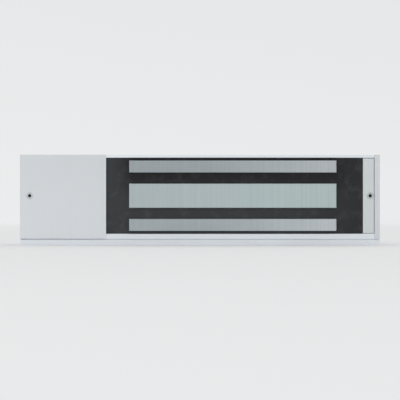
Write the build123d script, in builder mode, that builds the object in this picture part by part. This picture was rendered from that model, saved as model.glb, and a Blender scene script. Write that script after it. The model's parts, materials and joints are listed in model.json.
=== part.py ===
from build123d import *
from math import radians, tan
import os

os.makedirs("parts", exist_ok=True)

# An electromagnetic door lock. A laminated E core with its coil is potted in an extruded
# channel that opens to the front (-Y). A wiring space with the circuit board fills the left
# end, and two bolts hold the magnet down on its mounting plate.
# X runs along the lock and Z is up. The origin is the middle of the underside of the
# mounting plate, with the pole faces on the front of the box around the lock.

# Driving sizes along the lock, beside those of the circuit board
cap_thickness = 4.0
plug_length = 8.9
board_margin = 3.0
partition_thickness = 1.5
left_margin = 17.2
core_length = 154.4
right_margin = 19.5

# Driving sizes upright
plate_thickness = 4.5
bottom_wall = 4.2
top_wall = 2.4
outer_leg = 9.0
centre_leg = 18.2
slot_width = 8.1
core_wall_gap = 2.0

# Driving sizes in depth, from the pole faces to the back
cover_thickness = 1.5
pole_proud = 0.2
potting_recess = 0.6
slot_depth = 22.0
yoke_thickness = 9.0
rail_space = 6.0
back_wall = 3.0

# Core details
pole_break = 0.3
slot_corner = 0.6
weld_radius = 0.9
weld_inset = 5.0

# Dovetail rails inside the channel, which carry the core
rail_neck = 5.2
rail_head = 8.0
notch_depth = 3.0
rail_fit = 0.15
rail_offset = 10.0

# Screw ports of the channel, and the screws of the end caps
port_radius = 3.0
port_inset = 2.4
cap_screw_radius = 1.5
cap_screw_head_radius = 2.8
cap_screw_length = 14.0
thread_fit = 0.05

# Cover screws, with hexagon sockets
cover_screw_radius = 1.4
cover_screw_head_radius = 2.6
cover_screw_length = 9.0
cover_screw_inset = 7.1
hole_fit = 0.15
socket_width = 2.2
socket_depth = 1.3

# Coil and bobbin
coil_fit = 0.3
coil_setback = 4.0
bobbin_wall = 0.9
bobbin_flange = 1.0
tube_corner = 1.0
flange_corner = 6.0
winding_inset = 0.5

# Mounting bolts with their sleeves, washers and caps
bolt_radius = 3.0
bolt_hole_fit = 0.3
bolt_head_radius = 5.0
bolt_head_height = 6.0
bolt_edge = 0.7
bolt_socket_width = 5.0
bolt_socket_depth = 3.0
bolt_end_gap = 0.5
sleeve_radius = 7.2
sleeve_gap = 1.2
sleeve_relief = 0.2
counterbore_radius = 5.8
counterbore_depth = 12.0
washer_radius = 5.5
washer_thickness = 1.6
tamper_fit = 0.08
tamper_thickness = 3.0
tamper_break = 0.5

# Mounting plate
frame_screw_radius = 2.6
frame_screw_sink_radius = 4.6
frame_screw_spacing = 170.0
frame_screw_row_spacing = 22.0
adjusting_slot_length = 16.0
adjusting_slot_width = 5.2
adjusting_slot_spacing = 60.0
pin_radius = 1.5
pin_fit = 0.05
pin_rise = 3.0
pin_foot = 0.5
pin_spacing = 110.0
pin_edge_distance = 7.0

# Wire entry
entry_radius = 7.0
entry_front_distance = 12.3
grommet_bore_radius = 4.5
grommet_flange_radius = 9.0
grommet_flange = 2.0
grommet_chamfer = 0.6
grommet_fit = 0.1
entry_plate_gap = 0.6

# Covers, edges and sliding fits
slide_fit = 0.1
cover_gap = 0.3
cover_bevel_width = 3.0
cover_bevel_drop = 0.8
cover_lip_thickness = 1.2
cover_lip_depth = 2.5
end_plate_thickness = 1.5
end_plate_gap = 0.15
edge_break = 0.3
channel_corner = 0.8
plate_break = 0.5
cap_pocket_depth = 5.0
cap_pocket_wall = 2.5
cap_screw_rib_width = 9.0
countersink_angle = 90.0

# Circuit board
board_thickness = 1.6
board_rail_gap = 0.7
standoff_radius = 2.5
standoff_hole_radius = 1.2
board_screw_radius = 1.15
board_screw_head_radius = 2.4
board_screw_head_height = 1.7
board_screw_length = 7.0
board_screw_edge = 0.25
board_screw_edge_gap = 2.1
board_screw_block_gap = 1.9
board_screw_end_inset = 6.0
board_hole_fit = 0.2

# Parts on the board
terminal_count = 5
terminal_spacing = 5.0
terminal_end_wall = 0.5
terminal_width = 9.0
terminal_height = 10.0
terminal_edge_distance = 1.0
terminal_chamfer = 1.5
terminal_well_radius = 1.9
terminal_well_depth = 4.0
terminal_screw_radius = 1.7
terminal_screw_height = 1.6
terminal_mouth_radius = 1.5
terminal_mouth_depth = 6.0
terminal_mouth_level = 3.0
slot_cut_width = 0.6
slot_cut_depth = 0.7

relay_length = 15.0
relay_width = 10.0
relay_height = 10.5
relay_chamfer = 0.8
relay_place = (-6.5, 12.0)

header_columns = 3
header_spacing = 2.54
header_base_height = 2.5
header_pin_width = 0.64
header_pin_height = 8.5
header_place = (8.5, 12.0)
jumper_width = 2.3
jumper_height = 5.5
jumper_wall = 0.7
jumper_pin_fit = 0.08

capacitor_radius = 4.0
capacitor_height = 11.0
capacitor_groove_radius = 0.3
capacitor_groove_level = 9.3
capacitor_chamfer = 0.4
capacitor_place = (4.0, -1.5)

varistor_radius = 4.2
varistor_thickness = 3.5
varistor_rise = 1.5
varistor_fillet = 1.2
varistor_leg_radius = 0.35
varistor_leg_spread = 2.5
varistor_place = (-9.0, -1.0)

diode_radius = 1.35
diode_length = 5.2
diode_leg_radius = 0.35
diode_leg_reach = 2.4
diode_rise = 0.4
diode_place = (-3.0, -10.5)

# Bond sensor and the wires
sensor_thickness = 5.0
sensor_depth = 5.0
sensor_height = 12.0
sensor_wall_gap = 0.9
sensor_cover = 1.2
sensor_fillet = 1.0
wire_radius = 0.7
wire_hole_fit = 0.4
wire_spread = 5.0
wire_depth = 11.8
wire_turn_distance = 8.0
wire_bend_share = 0.45

# Whole lengths
terminal_length = terminal_count * terminal_spacing + 2 * terminal_end_wall
board_screw_strip = board_screw_edge_gap + 2 * board_screw_head_radius + board_screw_block_gap
board_length = terminal_length + 2 * board_screw_strip
space_length = board_length + 2 * board_margin
cover_width = cap_thickness + plug_length + space_length + partition_thickness
core_height = 2 * outer_leg + 2 * slot_width + centre_leg
core_depth = slot_depth + yoke_thickness
cavity_height = core_height + 2 * core_wall_gap
body_height = bottom_wall + cavity_height + top_wall
lock_length = cover_width + left_margin + core_length + right_margin + plug_length + cap_thickness
lock_depth = core_depth + rail_space + back_wall

# Places along X
left_x = -lock_length / 2
right_x = lock_length / 2
channel_x0 = left_x + cap_thickness
channel_x1 = right_x - cap_thickness
channel_length = channel_x1 - channel_x0
cover_x1 = left_x + cover_width
partition_x0 = cover_x1 - partition_thickness
potting_x0 = cover_x1
potting_x1 = channel_x1 - plug_length
core_x0 = potting_x0 + left_margin
core_x1 = core_x0 + core_length
core_mid_x = (core_x0 + core_x1) / 2
bolt_xs = (core_x0 - sleeve_gap - sleeve_radius, core_x1 + sleeve_gap + sleeve_radius)
space_x0 = channel_x0 + plug_length
space_mid_x = (space_x0 + partition_x0) / 2
wire_turn_x = partition_x0 - wire_turn_distance

# Places along Z
top_z = plate_thickness + body_height
cavity_z0 = plate_thickness + bottom_wall
cavity_z1 = top_z - top_wall
mid_z = (cavity_z0 + cavity_z1) / 2
core_z0 = cavity_z0 + core_wall_gap
slot_offset = (centre_leg + slot_width) / 2
rail_levels = (mid_z - rail_offset, mid_z + rail_offset)
port_levels = (cavity_z0 + port_inset, cavity_z1 - port_inset)

# Places along Y
pole_y = -lock_depth / 2
back_y = lock_depth / 2
cavity_back = back_y - back_wall
rim_y = pole_y + pole_proud + cover_thickness
cover_y = rim_y - cover_thickness
potting_y = rim_y + potting_recess
slot_floor_y = pole_y + slot_depth
core_back = pole_y + core_depth
body_depth = back_y - rim_y
body_mid_y = (rim_y + back_y) / 2
port_y = cavity_back - port_inset
rail_tip_y = core_back - notch_depth + rail_fit
bolt_y = slot_floor_y + sleeve_radius + coil_fit
entry_y = rim_y + entry_front_distance
board_back_y = rail_tip_y - board_rail_gap
board_y = board_back_y - board_thickness
plug_back_y = board_back_y

cut_over = 1.0
match = 0.001
facing_front = (90, 0, 0)
facing_left = (0, -90, 0)
facing_right = (0, 90, 0)
corner = (Align.MIN, Align.MIN)
corner_3d = (Align.MIN, Align.MIN, Align.MIN)
upright = (Align.CENTER, Align.CENTER, Align.MIN)


def front_plane(level):
    """Plane that faces the front at a given Y, with its own X and Y along the lock's X and Z."""
    return Plane.XZ.offset(-level)


def dovetail(level, root, grow):
    """Corners of a dovetail rail's section (Y, Z), or of its notch when grown by the fit."""
    half_neck = rail_neck / 2 + grow
    half_head = rail_head / 2 + grow
    tip = rail_tip_y - grow
    return [
        (root, level - half_neck),
        (core_back, level - half_neck),
        (tip, level - half_head),
        (tip, level + half_head),
        (core_back, level + half_neck),
        (root, level + half_neck),
    ]


def countersunk_screw(radius, head_radius, length, flats, depth):
    """Countersunk screw with a hexagon socket, its face at the origin and its point down."""
    cone = (head_radius - radius) / tan(radians(countersink_angle / 2))
    with BuildPart() as screw:
        with BuildSketch(Plane.XZ):
            with BuildLine():
                Polyline(
                    (0, 0),
                    (head_radius, 0),
                    (radius, -cone),
                    (radius, -length + radius / 2),
                    (radius / 2, -length),
                    (0, -length),
                    close=True,
                )
            make_face()
        revolve(axis=Axis.Z)
        with BuildSketch():
            RegularPolygon(flats / 2, 6, major_radius=False)
        extrude(amount=-depth, mode=Mode.SUBTRACT)
    return screw.part


def cap_head_screw(radius, head_radius, head_height, length, edge):
    """Screw with a round head, bearing on the origin with its shank down."""
    with BuildPart() as screw:
        Cylinder(head_radius, head_height, align=upright)
        chamfer(screw.edges().sort_by(Axis.Z)[-1], edge)
        with Locations((0, 0, -length)):
            Cylinder(radius, length, align=upright)
        chamfer(screw.edges().sort_by(Axis.Z)[0], edge)
    return screw.part


def slotted(blank, level, length):
    """Copy of a screw with a driver slot across its face, which lies at the given level."""
    with BuildPart() as screw:
        add(blank)
        with Locations((0, 0, level)):
            Box(length, slot_cut_width, 2 * slot_cut_depth, mode=Mode.SUBTRACT)
    return screw.part


def wire(points):
    """Round wire along straight runs joined by one bend, with the radius of the bend."""
    runs = [(Vector(b) - Vector(a)).length for a, b in zip(points, points[1:])]
    turn = (Vector(points[1]) - Vector(points[0])).get_angle(Vector(points[2]) - Vector(points[1]))
    radius = wire_bend_share * min(runs) / tan(radians(turn / 2))
    with BuildPart() as lead:
        with BuildLine() as route:
            FilletPolyline(*points, radius=radius)
        with BuildSketch(Plane(origin=points[0], z_dir=route.line % 0)):
            Circle(wire_radius)
        sweep()
    return lead.part, radius


# Housing: the extruded channel, with two dovetail rails and four screw ports on its back wall
with BuildPart() as housing:
    with BuildSketch(Plane.YZ.offset(channel_x0)):
        with Locations((rim_y, plate_thickness)):
            Rectangle(body_depth, body_height, align=corner)
        fillet(vertices().group_by(Axis.X)[-1], channel_corner)
        with Locations((rim_y - cut_over, cavity_z0)):
            Rectangle(cavity_back - rim_y + cut_over, cavity_height, align=corner, mode=Mode.SUBTRACT)
        for level in rail_levels:
            Polygon(*dovetail(level, cavity_back, 0), align=None)
        for level, toward in zip(port_levels, (Align.MAX, Align.MIN)):
            with Locations((port_y, level)):
                Rectangle(port_inset, port_inset, align=(Align.MIN, toward))
                Circle(port_radius)
                Circle(cap_screw_radius + thread_fit, mode=Mode.SUBTRACT)
    extrude(amount=channel_length)
    chamfer(housing.edges().filter_by(Axis.X).group_by(Axis.Y)[0], edge_break)
    with Locations(*[(x, bolt_y, mid_z) for x in bolt_xs]):
        Cylinder(sleeve_radius + sleeve_relief, cavity_height, mode=Mode.SUBTRACT)
    with Locations(*[(x, bolt_y, top_z) for x in bolt_xs]):
        Hole(counterbore_radius, depth=top_wall)
    with Locations(*[(x, bolt_y, cavity_z0) for x in bolt_xs]):
        Hole(bolt_radius + bolt_hole_fit, depth=bottom_wall)
    with Locations((space_mid_x, entry_y, cavity_z0)):
        Hole(entry_radius, depth=bottom_wall)
    with Locations((0, rim_y + pin_edge_distance, plate_thickness)):
        with GridLocations(pin_spacing, 0, 2, 1):
            Cylinder(pin_radius + pin_fit, pin_rise, align=upright, mode=Mode.SUBTRACT)

# Mounting plate: tapped for the two bolts, with countersunk holes and slots for the frame screws
with BuildPart() as mounting_plate:
    with Locations((0, body_mid_y, 0)):
        Box(lock_length, body_depth, plate_thickness, align=upright)
    chamfer(mounting_plate.edges().group_by(Axis.Z)[-1], plate_break)
    with Locations(*[(x, bolt_y, plate_thickness) for x in bolt_xs]):
        Hole(bolt_radius + thread_fit)
    with Locations((space_mid_x, entry_y, plate_thickness)):
        Hole(grommet_flange_radius + entry_plate_gap)
    with Locations((0, rim_y + pin_edge_distance, plate_thickness)):
        with GridLocations(pin_spacing, 0, 2, 1):
            Hole(pin_radius + pin_fit)
    with Locations((0, body_mid_y, plate_thickness)):
        with GridLocations(frame_screw_spacing, frame_screw_row_spacing, 2, 2):
            CounterSinkHole(
                frame_screw_radius, frame_screw_sink_radius, counter_sink_angle=countersink_angle
            )
    with BuildSketch(Plane.XY):
        with Locations((0, body_mid_y)):
            with GridLocations(adjusting_slot_spacing, 0, 2, 1):
                SlotOverall(adjusting_slot_length, adjusting_slot_width)
    extrude(amount=plate_thickness, mode=Mode.SUBTRACT)

# Left end cap: flange, and a plug with a rib for the cover screw between two pockets
with BuildPart() as end_cap_left:
    with BuildSketch(Plane.YZ.offset(left_x)):
        with Locations((rim_y, plate_thickness)):
            Rectangle(body_depth, body_height, align=corner)
        fillet(vertices().group_by(Axis.X)[-1], channel_corner)
    extrude(amount=cap_thickness)
    chamfer(end_cap_left.faces().filter_by(Axis.X).edges(), edge_break)
    with Locations((channel_x0, rim_y, cavity_z0 + slide_fit)):
        Box(plug_length, plug_back_y - rim_y, cavity_height - 2 * slide_fit, align=corner_3d)
    pocket_height = (cavity_height - cap_screw_rib_width) / 2 - slide_fit - cap_pocket_wall
    pocket_offset = (cap_screw_rib_width + pocket_height) / 2
    with BuildSketch(Plane.YZ.offset(space_x0)):
        with Locations(((rim_y + plug_back_y) / 2, mid_z)):
            with GridLocations(0, 2 * pocket_offset, 1, 2):
                Rectangle(plug_back_y - rim_y - 2 * cap_pocket_wall, pocket_height)
    extrude(amount=-cap_pocket_depth, mode=Mode.SUBTRACT)
    with Locations(*[Location((left_x, port_y, z), facing_left) for z in port_levels]):
        CounterSinkHole(
            cap_screw_radius + hole_fit, cap_screw_head_radius, cap_thickness, countersink_angle
        )
    with Locations(Location((left_x + cover_screw_inset, rim_y, mid_z), facing_front)):
        Hole(cover_screw_radius + thread_fit, depth=cover_screw_length)

# Right end cap: flange, and a solid plug that dams the potting
plug_front_y = potting_y + end_plate_thickness
with BuildPart() as end_cap_right:
    with BuildSketch(Plane.YZ.offset(right_x)):
        with Locations((rim_y, plate_thickness)):
            Rectangle(body_depth, body_height, align=corner)
        fillet(vertices().group_by(Axis.X)[-1], channel_corner)
    extrude(amount=-cap_thickness)
    chamfer(end_cap_right.faces().filter_by(Axis.X).edges(), edge_break)
    with Locations((potting_x1, plug_front_y, cavity_z0 + slide_fit)):
        Box(plug_length, plug_back_y - plug_front_y, cavity_height - 2 * slide_fit, align=corner_3d)
    with Locations(*[Location((right_x, port_y, z), facing_right) for z in port_levels]):
        CounterSinkHole(
            cap_screw_radius + hole_fit, cap_screw_head_radius, cap_thickness, countersink_angle
        )
    with Locations(Location((right_x - cover_screw_inset, plug_front_y, mid_z), facing_front)):
        Hole(cover_screw_radius + thread_fit, depth=cover_screw_length)

# Screws of the end caps, two at each end, driven into the screw ports
cap_screw = countersunk_screw(
    cap_screw_radius, cap_screw_head_radius, cap_screw_length, socket_width, socket_depth
)
with BuildPart() as end_cap_screws:
    with Locations(*[Location((left_x, port_y, z), facing_left) for z in port_levels]):
        add(cap_screw)
    with Locations(*[Location((right_x, port_y, z), facing_right) for z in port_levels]):
        add(cap_screw)

# Wiring cover: flat plate with a bevel beside the magnet and a lip that hooks on the partition
with BuildPart() as wiring_cover:
    lip_x1 = partition_x0 - slide_fit
    with BuildSketch(Plane.XY.offset(plate_thickness + cover_gap)):
        Polygon(
            (left_x, rim_y),
            (left_x, cover_y),
            (cover_x1 - cover_bevel_width, cover_y),
            (cover_x1, cover_y + cover_bevel_drop),
            (cover_x1, rim_y),
            align=None,
        )
    extrude(amount=body_height - cover_gap)
    front_edges = wiring_cover.faces().sort_by(Axis.Y)[0].edges()
    chamfer(front_edges.sort_by(Axis.X)[:-1], edge_break)
    with BuildSketch(Plane.XY.offset(cavity_z0 + slide_fit)):
        with Locations((lip_x1 - cover_lip_thickness, rim_y)):
            Rectangle(cover_lip_thickness, cover_lip_depth, align=corner)
    extrude(amount=cavity_height - 2 * slide_fit)
    with Locations(Location((left_x + cover_screw_inset, cover_y, mid_z), facing_front)):
        CounterSinkHole(
            cover_screw_radius + hole_fit, cover_screw_head_radius, cover_thickness, countersink_angle
        )

# End plate: narrow strip on the right plug, level with the potting
with BuildPart() as end_plate:
    with BuildSketch(front_plane(potting_y)):
        with Locations((potting_x1 + end_plate_gap, cavity_z0 + end_plate_gap)):
            Rectangle(plug_length - 2 * end_plate_gap, cavity_height - 2 * end_plate_gap, align=corner)
    extrude(amount=-end_plate_thickness)
    chamfer(end_plate.faces().sort_by(Axis.Y)[0].edges(), edge_break)
    with Locations(Location((right_x - cover_screw_inset, potting_y, mid_z), facing_front)):
        CounterSinkHole(
            cover_screw_radius + hole_fit,
            cover_screw_head_radius,
            end_plate_thickness,
            countersink_angle,
        )

# The two screws that show on the front, one at each end
cover_screw = countersunk_screw(
    cover_screw_radius, cover_screw_head_radius, cover_screw_length, socket_width, socket_depth
)
with BuildPart() as cover_screws:
    with Locations(
        Location((left_x + cover_screw_inset, cover_y, mid_z), facing_front),
        Location((right_x - cover_screw_inset, potting_y, mid_z), facing_front),
    ):
        add(cover_screw)

# Core: stack of E laminations with its three poles to the front, welded along its back
with BuildPart() as core:
    with BuildSketch(Plane.YZ.offset(core_x0)):
        with Locations((pole_y, core_z0)):
            Rectangle(core_depth, core_height, align=corner)
        with Locations((pole_y - cut_over, mid_z)):
            with GridLocations(0, 2 * slot_offset, 1, 2):
                Rectangle(
                    slot_depth + cut_over, slot_width, align=(Align.MIN, Align.CENTER), mode=Mode.SUBTRACT
                )
        slot_floor = vertices().filter_by_position(Axis.X, slot_floor_y - match, slot_floor_y + match)
        fillet(slot_floor, slot_corner)
        for level in rail_levels:
            Polygon(*dovetail(level, core_back + cut_over, rail_fit), align=None, mode=Mode.SUBTRACT)
        with Locations((core_back, mid_z)):
            with GridLocations(0, core_height / 2 - weld_inset, 1, 3):
                Circle(weld_radius)
    extrude(amount=core_length)
    pole_faces = core.faces().group_by(Axis.Y)[0]
    chamfer(pole_faces.edges(), pole_break)

# Bobbin: a long spool around the middle leg
bobbin_back = slot_floor_y - coil_fit
bobbin_front = pole_y + coil_setback
bobbin_depth = bobbin_back - bobbin_front
leg_length = core_length + 2 * coil_fit
leg_height = centre_leg + 2 * coil_fit
tube_length = leg_length + 2 * bobbin_wall
tube_height = leg_height + 2 * bobbin_wall
flange_length = core_length + 2 * (slot_width - coil_fit)
flange_height = centre_leg + 2 * (slot_width - coil_fit)
with BuildPart() as bobbin:
    for level, step in ((bobbin_back, bobbin_flange), (bobbin_front, -bobbin_flange)):
        with BuildSketch(front_plane(level)):
            with Locations((core_mid_x, mid_z)):
                RectangleRounded(flange_length, flange_height, flange_corner)
        extrude(amount=step)
    with BuildSketch(front_plane(bobbin_back)):
        with Locations((core_mid_x, mid_z)):
            RectangleRounded(tube_length, tube_height, tube_corner)
    extrude(amount=bobbin_depth)
    with BuildSketch(front_plane(bobbin_back)):
        with Locations((core_mid_x, mid_z)):
            Rectangle(leg_length, leg_height)
    extrude(amount=bobbin_depth, mode=Mode.SUBTRACT)

# Winding: the coil between the flanges of the bobbin
winding_length = flange_length - 2 * winding_inset
winding_height = flange_height - 2 * winding_inset
winding_x0 = core_mid_x - winding_length / 2
with BuildPart() as winding:
    with BuildSketch(front_plane(bobbin_back - bobbin_flange)):
        with Locations((core_mid_x, mid_z)):
            RectangleRounded(winding_length, winding_height, flange_corner - winding_inset)
            RectangleRounded(tube_length, tube_height, tube_corner, mode=Mode.SUBTRACT)
    extrude(amount=bobbin_depth - 2 * bobbin_flange)

# Sleeves for the mounting bolts, from wall to wall at both ends of the core
with BuildPart() as bolt_sleeves:
    with Locations(*[(x, bolt_y, cavity_z0) for x in bolt_xs]):
        Cylinder(sleeve_radius, cavity_height, align=upright)
    with Locations(*[(x, bolt_y, cavity_z1) for x in bolt_xs]):
        CounterBoreHole(
            bolt_radius + bolt_hole_fit, counterbore_radius, counterbore_depth, cavity_height
        )

# Washers, bolts and caps stand in the counterbores of the sleeves
washer_z = cavity_z1 - counterbore_depth
with BuildPart() as bolt_washers:
    with Locations(*[(x, bolt_y, washer_z) for x in bolt_xs]):
        Cylinder(washer_radius, washer_thickness, align=upright)
        Cylinder(bolt_radius + bolt_hole_fit, washer_thickness, align=upright, mode=Mode.SUBTRACT)

bolt_z = washer_z + washer_thickness
with BuildPart() as bolt:
    bolt_length = bolt_z - bolt_end_gap
    add(cap_head_screw(bolt_radius, bolt_head_radius, bolt_head_height, bolt_length, bolt_edge))
    with BuildSketch(Plane.XY.offset(bolt_head_height)):
        RegularPolygon(bolt_socket_width / 2, 6, major_radius=False)
    extrude(amount=-bolt_socket_depth, mode=Mode.SUBTRACT)
with BuildPart() as mounting_bolts:
    with Locations(*[(x, bolt_y, bolt_z) for x in bolt_xs]):
        add(bolt.part)

with BuildPart() as tamper_cap:
    Cylinder(counterbore_radius - tamper_fit, tamper_thickness, align=upright)
    chamfer(tamper_cap.edges().sort_by(Axis.Z)[-1], tamper_break)
with BuildPart() as tamper_caps:
    with Locations(*[(x, bolt_y, top_z - tamper_thickness) for x in bolt_xs]):
        add(tamper_cap.part)

# Pins that line the channel up with its mounting plate
with BuildPart() as locating_pins:
    with Locations((0, rim_y + pin_edge_distance, pin_foot)):
        with GridLocations(pin_spacing, 0, 2, 1):
            Cylinder(pin_radius, plate_thickness + pin_rise - 2 * pin_foot, align=upright)

# Grommet in the bottom wall, where the supply wires come in through the mounting plate
with BuildPart() as wire_grommet:
    neck_radius = entry_radius - grommet_fit
    with BuildSketch(Plane.XZ.offset(-entry_y)):
        with BuildLine():
            Polyline(
                (space_mid_x + grommet_bore_radius + grommet_chamfer, plate_thickness - grommet_flange),
                (space_mid_x + grommet_flange_radius, plate_thickness - grommet_flange),
                (space_mid_x + grommet_flange_radius, plate_thickness),
                (space_mid_x + neck_radius, plate_thickness),
                (space_mid_x + neck_radius, cavity_z0),
                (space_mid_x + grommet_flange_radius, cavity_z0),
                (space_mid_x + grommet_flange_radius - grommet_chamfer, cavity_z0 + grommet_flange),
                (space_mid_x + grommet_bore_radius + grommet_chamfer, cavity_z0 + grommet_flange),
                (space_mid_x + grommet_bore_radius, cavity_z0 + grommet_flange - grommet_chamfer),
                (space_mid_x + grommet_bore_radius, plate_thickness - grommet_flange + grommet_chamfer),
                close=True,
            )
        make_face()
    revolve(axis=Axis((space_mid_x, entry_y, 0), (0, 0, 1)))

# Circuit board on four standoffs, in front of the rails
board_x0 = space_x0 + board_margin
board_x1 = partition_x0 - board_margin
board_z0 = cavity_z0 + board_margin
board_z1 = cavity_z1 - board_margin
board_screw_inset = board_screw_edge_gap + board_screw_head_radius
standoff_xs = (board_x0 + board_screw_inset, board_x1 - board_screw_inset)
standoff_zs = (board_z0 + board_screw_end_inset, board_z1 - board_screw_end_inset)
standoff_places = [(x, z) for x in standoff_xs for z in standoff_zs]
with BuildPart() as circuit_board:
    with BuildSketch(front_plane(board_back_y)):
        with Locations((board_x0, board_z0)):
            Rectangle(board_x1 - board_x0, board_z1 - board_z0, align=corner)
        with Locations(*standoff_places):
            Circle(board_screw_radius + board_hole_fit, mode=Mode.SUBTRACT)
    extrude(amount=board_thickness)

with BuildPart() as board_standoffs:
    with BuildSketch(front_plane(cavity_back)):
        with Locations(*standoff_places):
            Circle(standoff_radius)
            Circle(standoff_hole_radius, mode=Mode.SUBTRACT)
    extrude(amount=cavity_back - board_back_y)

board_screw = slotted(
    cap_head_screw(
        board_screw_radius,
        board_screw_head_radius,
        board_screw_head_height,
        board_screw_length,
        board_screw_edge,
    ),
    board_screw_head_height,
    2 * board_screw_head_radius,
)
with BuildPart() as board_screws:
    with Locations(*[Location((x, board_y, z), facing_front) for x, z in standoff_places]):
        add(board_screw)

# Terminal block along the lower edge of the board, its wire mouths down to the grommet
terminal_z0 = board_z0 + terminal_edge_distance
terminal_mid_z = terminal_z0 + terminal_width / 2
terminal_front = board_y - terminal_height
with BuildPart() as terminal_block:
    with BuildSketch(front_plane(board_y)):
        with Locations((space_mid_x, terminal_mid_z)):
            Rectangle(terminal_length, terminal_width)
    extrude(amount=terminal_height)
    front_edges = terminal_block.edges().filter_by(Axis.X).group_by(Axis.Y)[0]
    chamfer(front_edges, terminal_chamfer)
    with BuildSketch(front_plane(terminal_front)):
        with Locations((space_mid_x, terminal_mid_z)):
            with GridLocations(terminal_spacing, 0, terminal_count, 1):
                Circle(terminal_well_radius)
    extrude(amount=-terminal_well_depth, mode=Mode.SUBTRACT)
    with BuildSketch(Plane.XY.offset(terminal_z0)):
        with Locations((space_mid_x, board_y - terminal_mouth_level)):
            with GridLocations(terminal_spacing, 0, terminal_count, 1):
                Circle(terminal_mouth_radius)
    extrude(amount=terminal_mouth_depth, mode=Mode.SUBTRACT)

with BuildPart() as terminal_screw_blank:
    Cylinder(terminal_screw_radius, terminal_screw_height, align=upright)
terminal_screw = slotted(
    terminal_screw_blank.part, terminal_screw_height, 2 * terminal_screw_radius
)
with BuildPart() as terminal_screws:
    well_floor = Location((space_mid_x, terminal_front + terminal_well_depth, terminal_mid_z), facing_front)
    with Locations(well_floor):
        with GridLocations(terminal_spacing, 0, terminal_count, 1):
            add(terminal_screw)

# Relay of the bond sensor's output
with BuildPart() as relay:
    with BuildSketch(front_plane(board_y)):
        with Locations((space_mid_x + relay_place[0], mid_z + relay_place[1])):
            Rectangle(relay_length, relay_width)
    extrude(amount=relay_height)
    chamfer(relay.faces().sort_by(Axis.Y)[0].edges(), relay_chamfer)

# Pin header that sets the supply voltage, with two jumpers on it
header_x = space_mid_x + header_place[0]
header_z = mid_z + header_place[1]
with BuildPart() as voltage_header:
    with BuildSketch(front_plane(board_y)):
        with Locations((header_x, header_z)):
            Rectangle(header_columns * header_spacing, 2 * header_spacing)
    extrude(amount=header_base_height)
    with BuildSketch(front_plane(board_y)):
        with Locations((header_x, header_z)):
            with GridLocations(header_spacing, header_spacing, header_columns, 2):
                Rectangle(header_pin_width, header_pin_width)
    extrude(amount=header_pin_height)

with BuildPart() as voltage_jumpers:
    jumper_length = header_spacing + header_pin_width + 2 * jumper_wall
    with BuildSketch(front_plane(board_y - header_base_height)):
        with Locations((header_x, header_z)):
            with GridLocations((header_columns - 1) * header_spacing, 0, 2, 1):
                Rectangle(jumper_width, jumper_length)
            with GridLocations(header_spacing, header_spacing, header_columns, 2):
                hole_width = header_pin_width + 2 * jumper_pin_fit
                Rectangle(hole_width, hole_width, mode=Mode.SUBTRACT)
    extrude(amount=jumper_height)

# Capacitor, standing on the board, with the crimp round its can
with BuildPart() as capacitor:
    place = (space_mid_x + capacitor_place[0], board_y, mid_z + capacitor_place[1])
    with Locations(Location(place, facing_front)):
        Cylinder(capacitor_radius, capacitor_height, align=upright)
    chamfer(capacitor.edges().sort_by(Axis.Y)[0], capacitor_chamfer)
    with Locations(Location(place, facing_front) * Location((0, 0, capacitor_groove_level))):
        Torus(capacitor_radius, capacitor_groove_radius, mode=Mode.SUBTRACT)

# Varistor across the supply: a disc on two legs
with BuildPart() as varistor:
    varistor_x = space_mid_x + varistor_place[0]
    varistor_z = mid_z + varistor_place[1]
    varistor_y = board_y - varistor_rise - varistor_radius
    with Locations((varistor_x, varistor_y, varistor_z)):
        Cylinder(varistor_radius, varistor_thickness)
    fillet(varistor.edges().filter_by(GeomType.CIRCLE), varistor_fillet)
    with BuildSketch(front_plane(board_y)):
        with Locations((varistor_x, varistor_z)):
            with GridLocations(2 * varistor_leg_spread, 0, 2, 1):
                Circle(varistor_leg_radius)
    extrude(amount=varistor_rise + varistor_radius)

# Diode across the coil, lying on its two bent legs
with BuildPart() as diode:
    diode_x = space_mid_x + diode_place[0]
    diode_z = mid_z + diode_place[1]
    diode_y = board_y - diode_rise - diode_radius
    with Locations(Location((diode_x, diode_y, diode_z), facing_right)):
        Cylinder(diode_radius, diode_length)
        Cylinder(diode_leg_radius, diode_length + 2 * diode_leg_reach)
    with BuildSketch(front_plane(board_y)):
        with Locations((diode_x, diode_z)):
            with GridLocations(diode_length + 2 * (diode_leg_reach - diode_leg_radius), 0, 2, 1):
                Circle(diode_leg_radius)
    extrude(amount=diode_rise + diode_radius)

# Bond sensor, in the potting beside the coil and close behind its face
sensor_x0 = potting_x0 + sensor_wall_gap
sensor_y0 = potting_y + sensor_cover
with BuildPart() as bond_sensor:
    with Locations((sensor_x0, sensor_y0, mid_z - sensor_height / 2)):
        Box(sensor_thickness, sensor_depth, sensor_height, align=corner_3d)
    fillet(bond_sensor.edges().filter_by(Axis.Y), sensor_fillet)

# Wires: two from the coil and one from the sensor, through the partition to the board
wire_y = board_y - wire_depth
sensor_y = sensor_y0 + sensor_depth / 2
coil_lead_red, red_bend = wire(
    [
        (winding_x0, wire_y, mid_z + wire_spread),
        (wire_turn_x, wire_y, mid_z + wire_spread),
        (wire_turn_x, board_y, mid_z + wire_spread),
    ]
)
coil_lead_black, black_bend = wire(
    [
        (winding_x0, wire_y, mid_z - wire_spread),
        (wire_turn_x, wire_y, mid_z - wire_spread),
        (wire_turn_x, board_y, mid_z - wire_spread),
    ]
)
sensor_lead, sensor_bend = wire(
    [
        (sensor_x0, sensor_y, mid_z),
        (wire_turn_x, sensor_y, mid_z),
        (wire_turn_x, board_y, mid_z),
    ]
)

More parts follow.
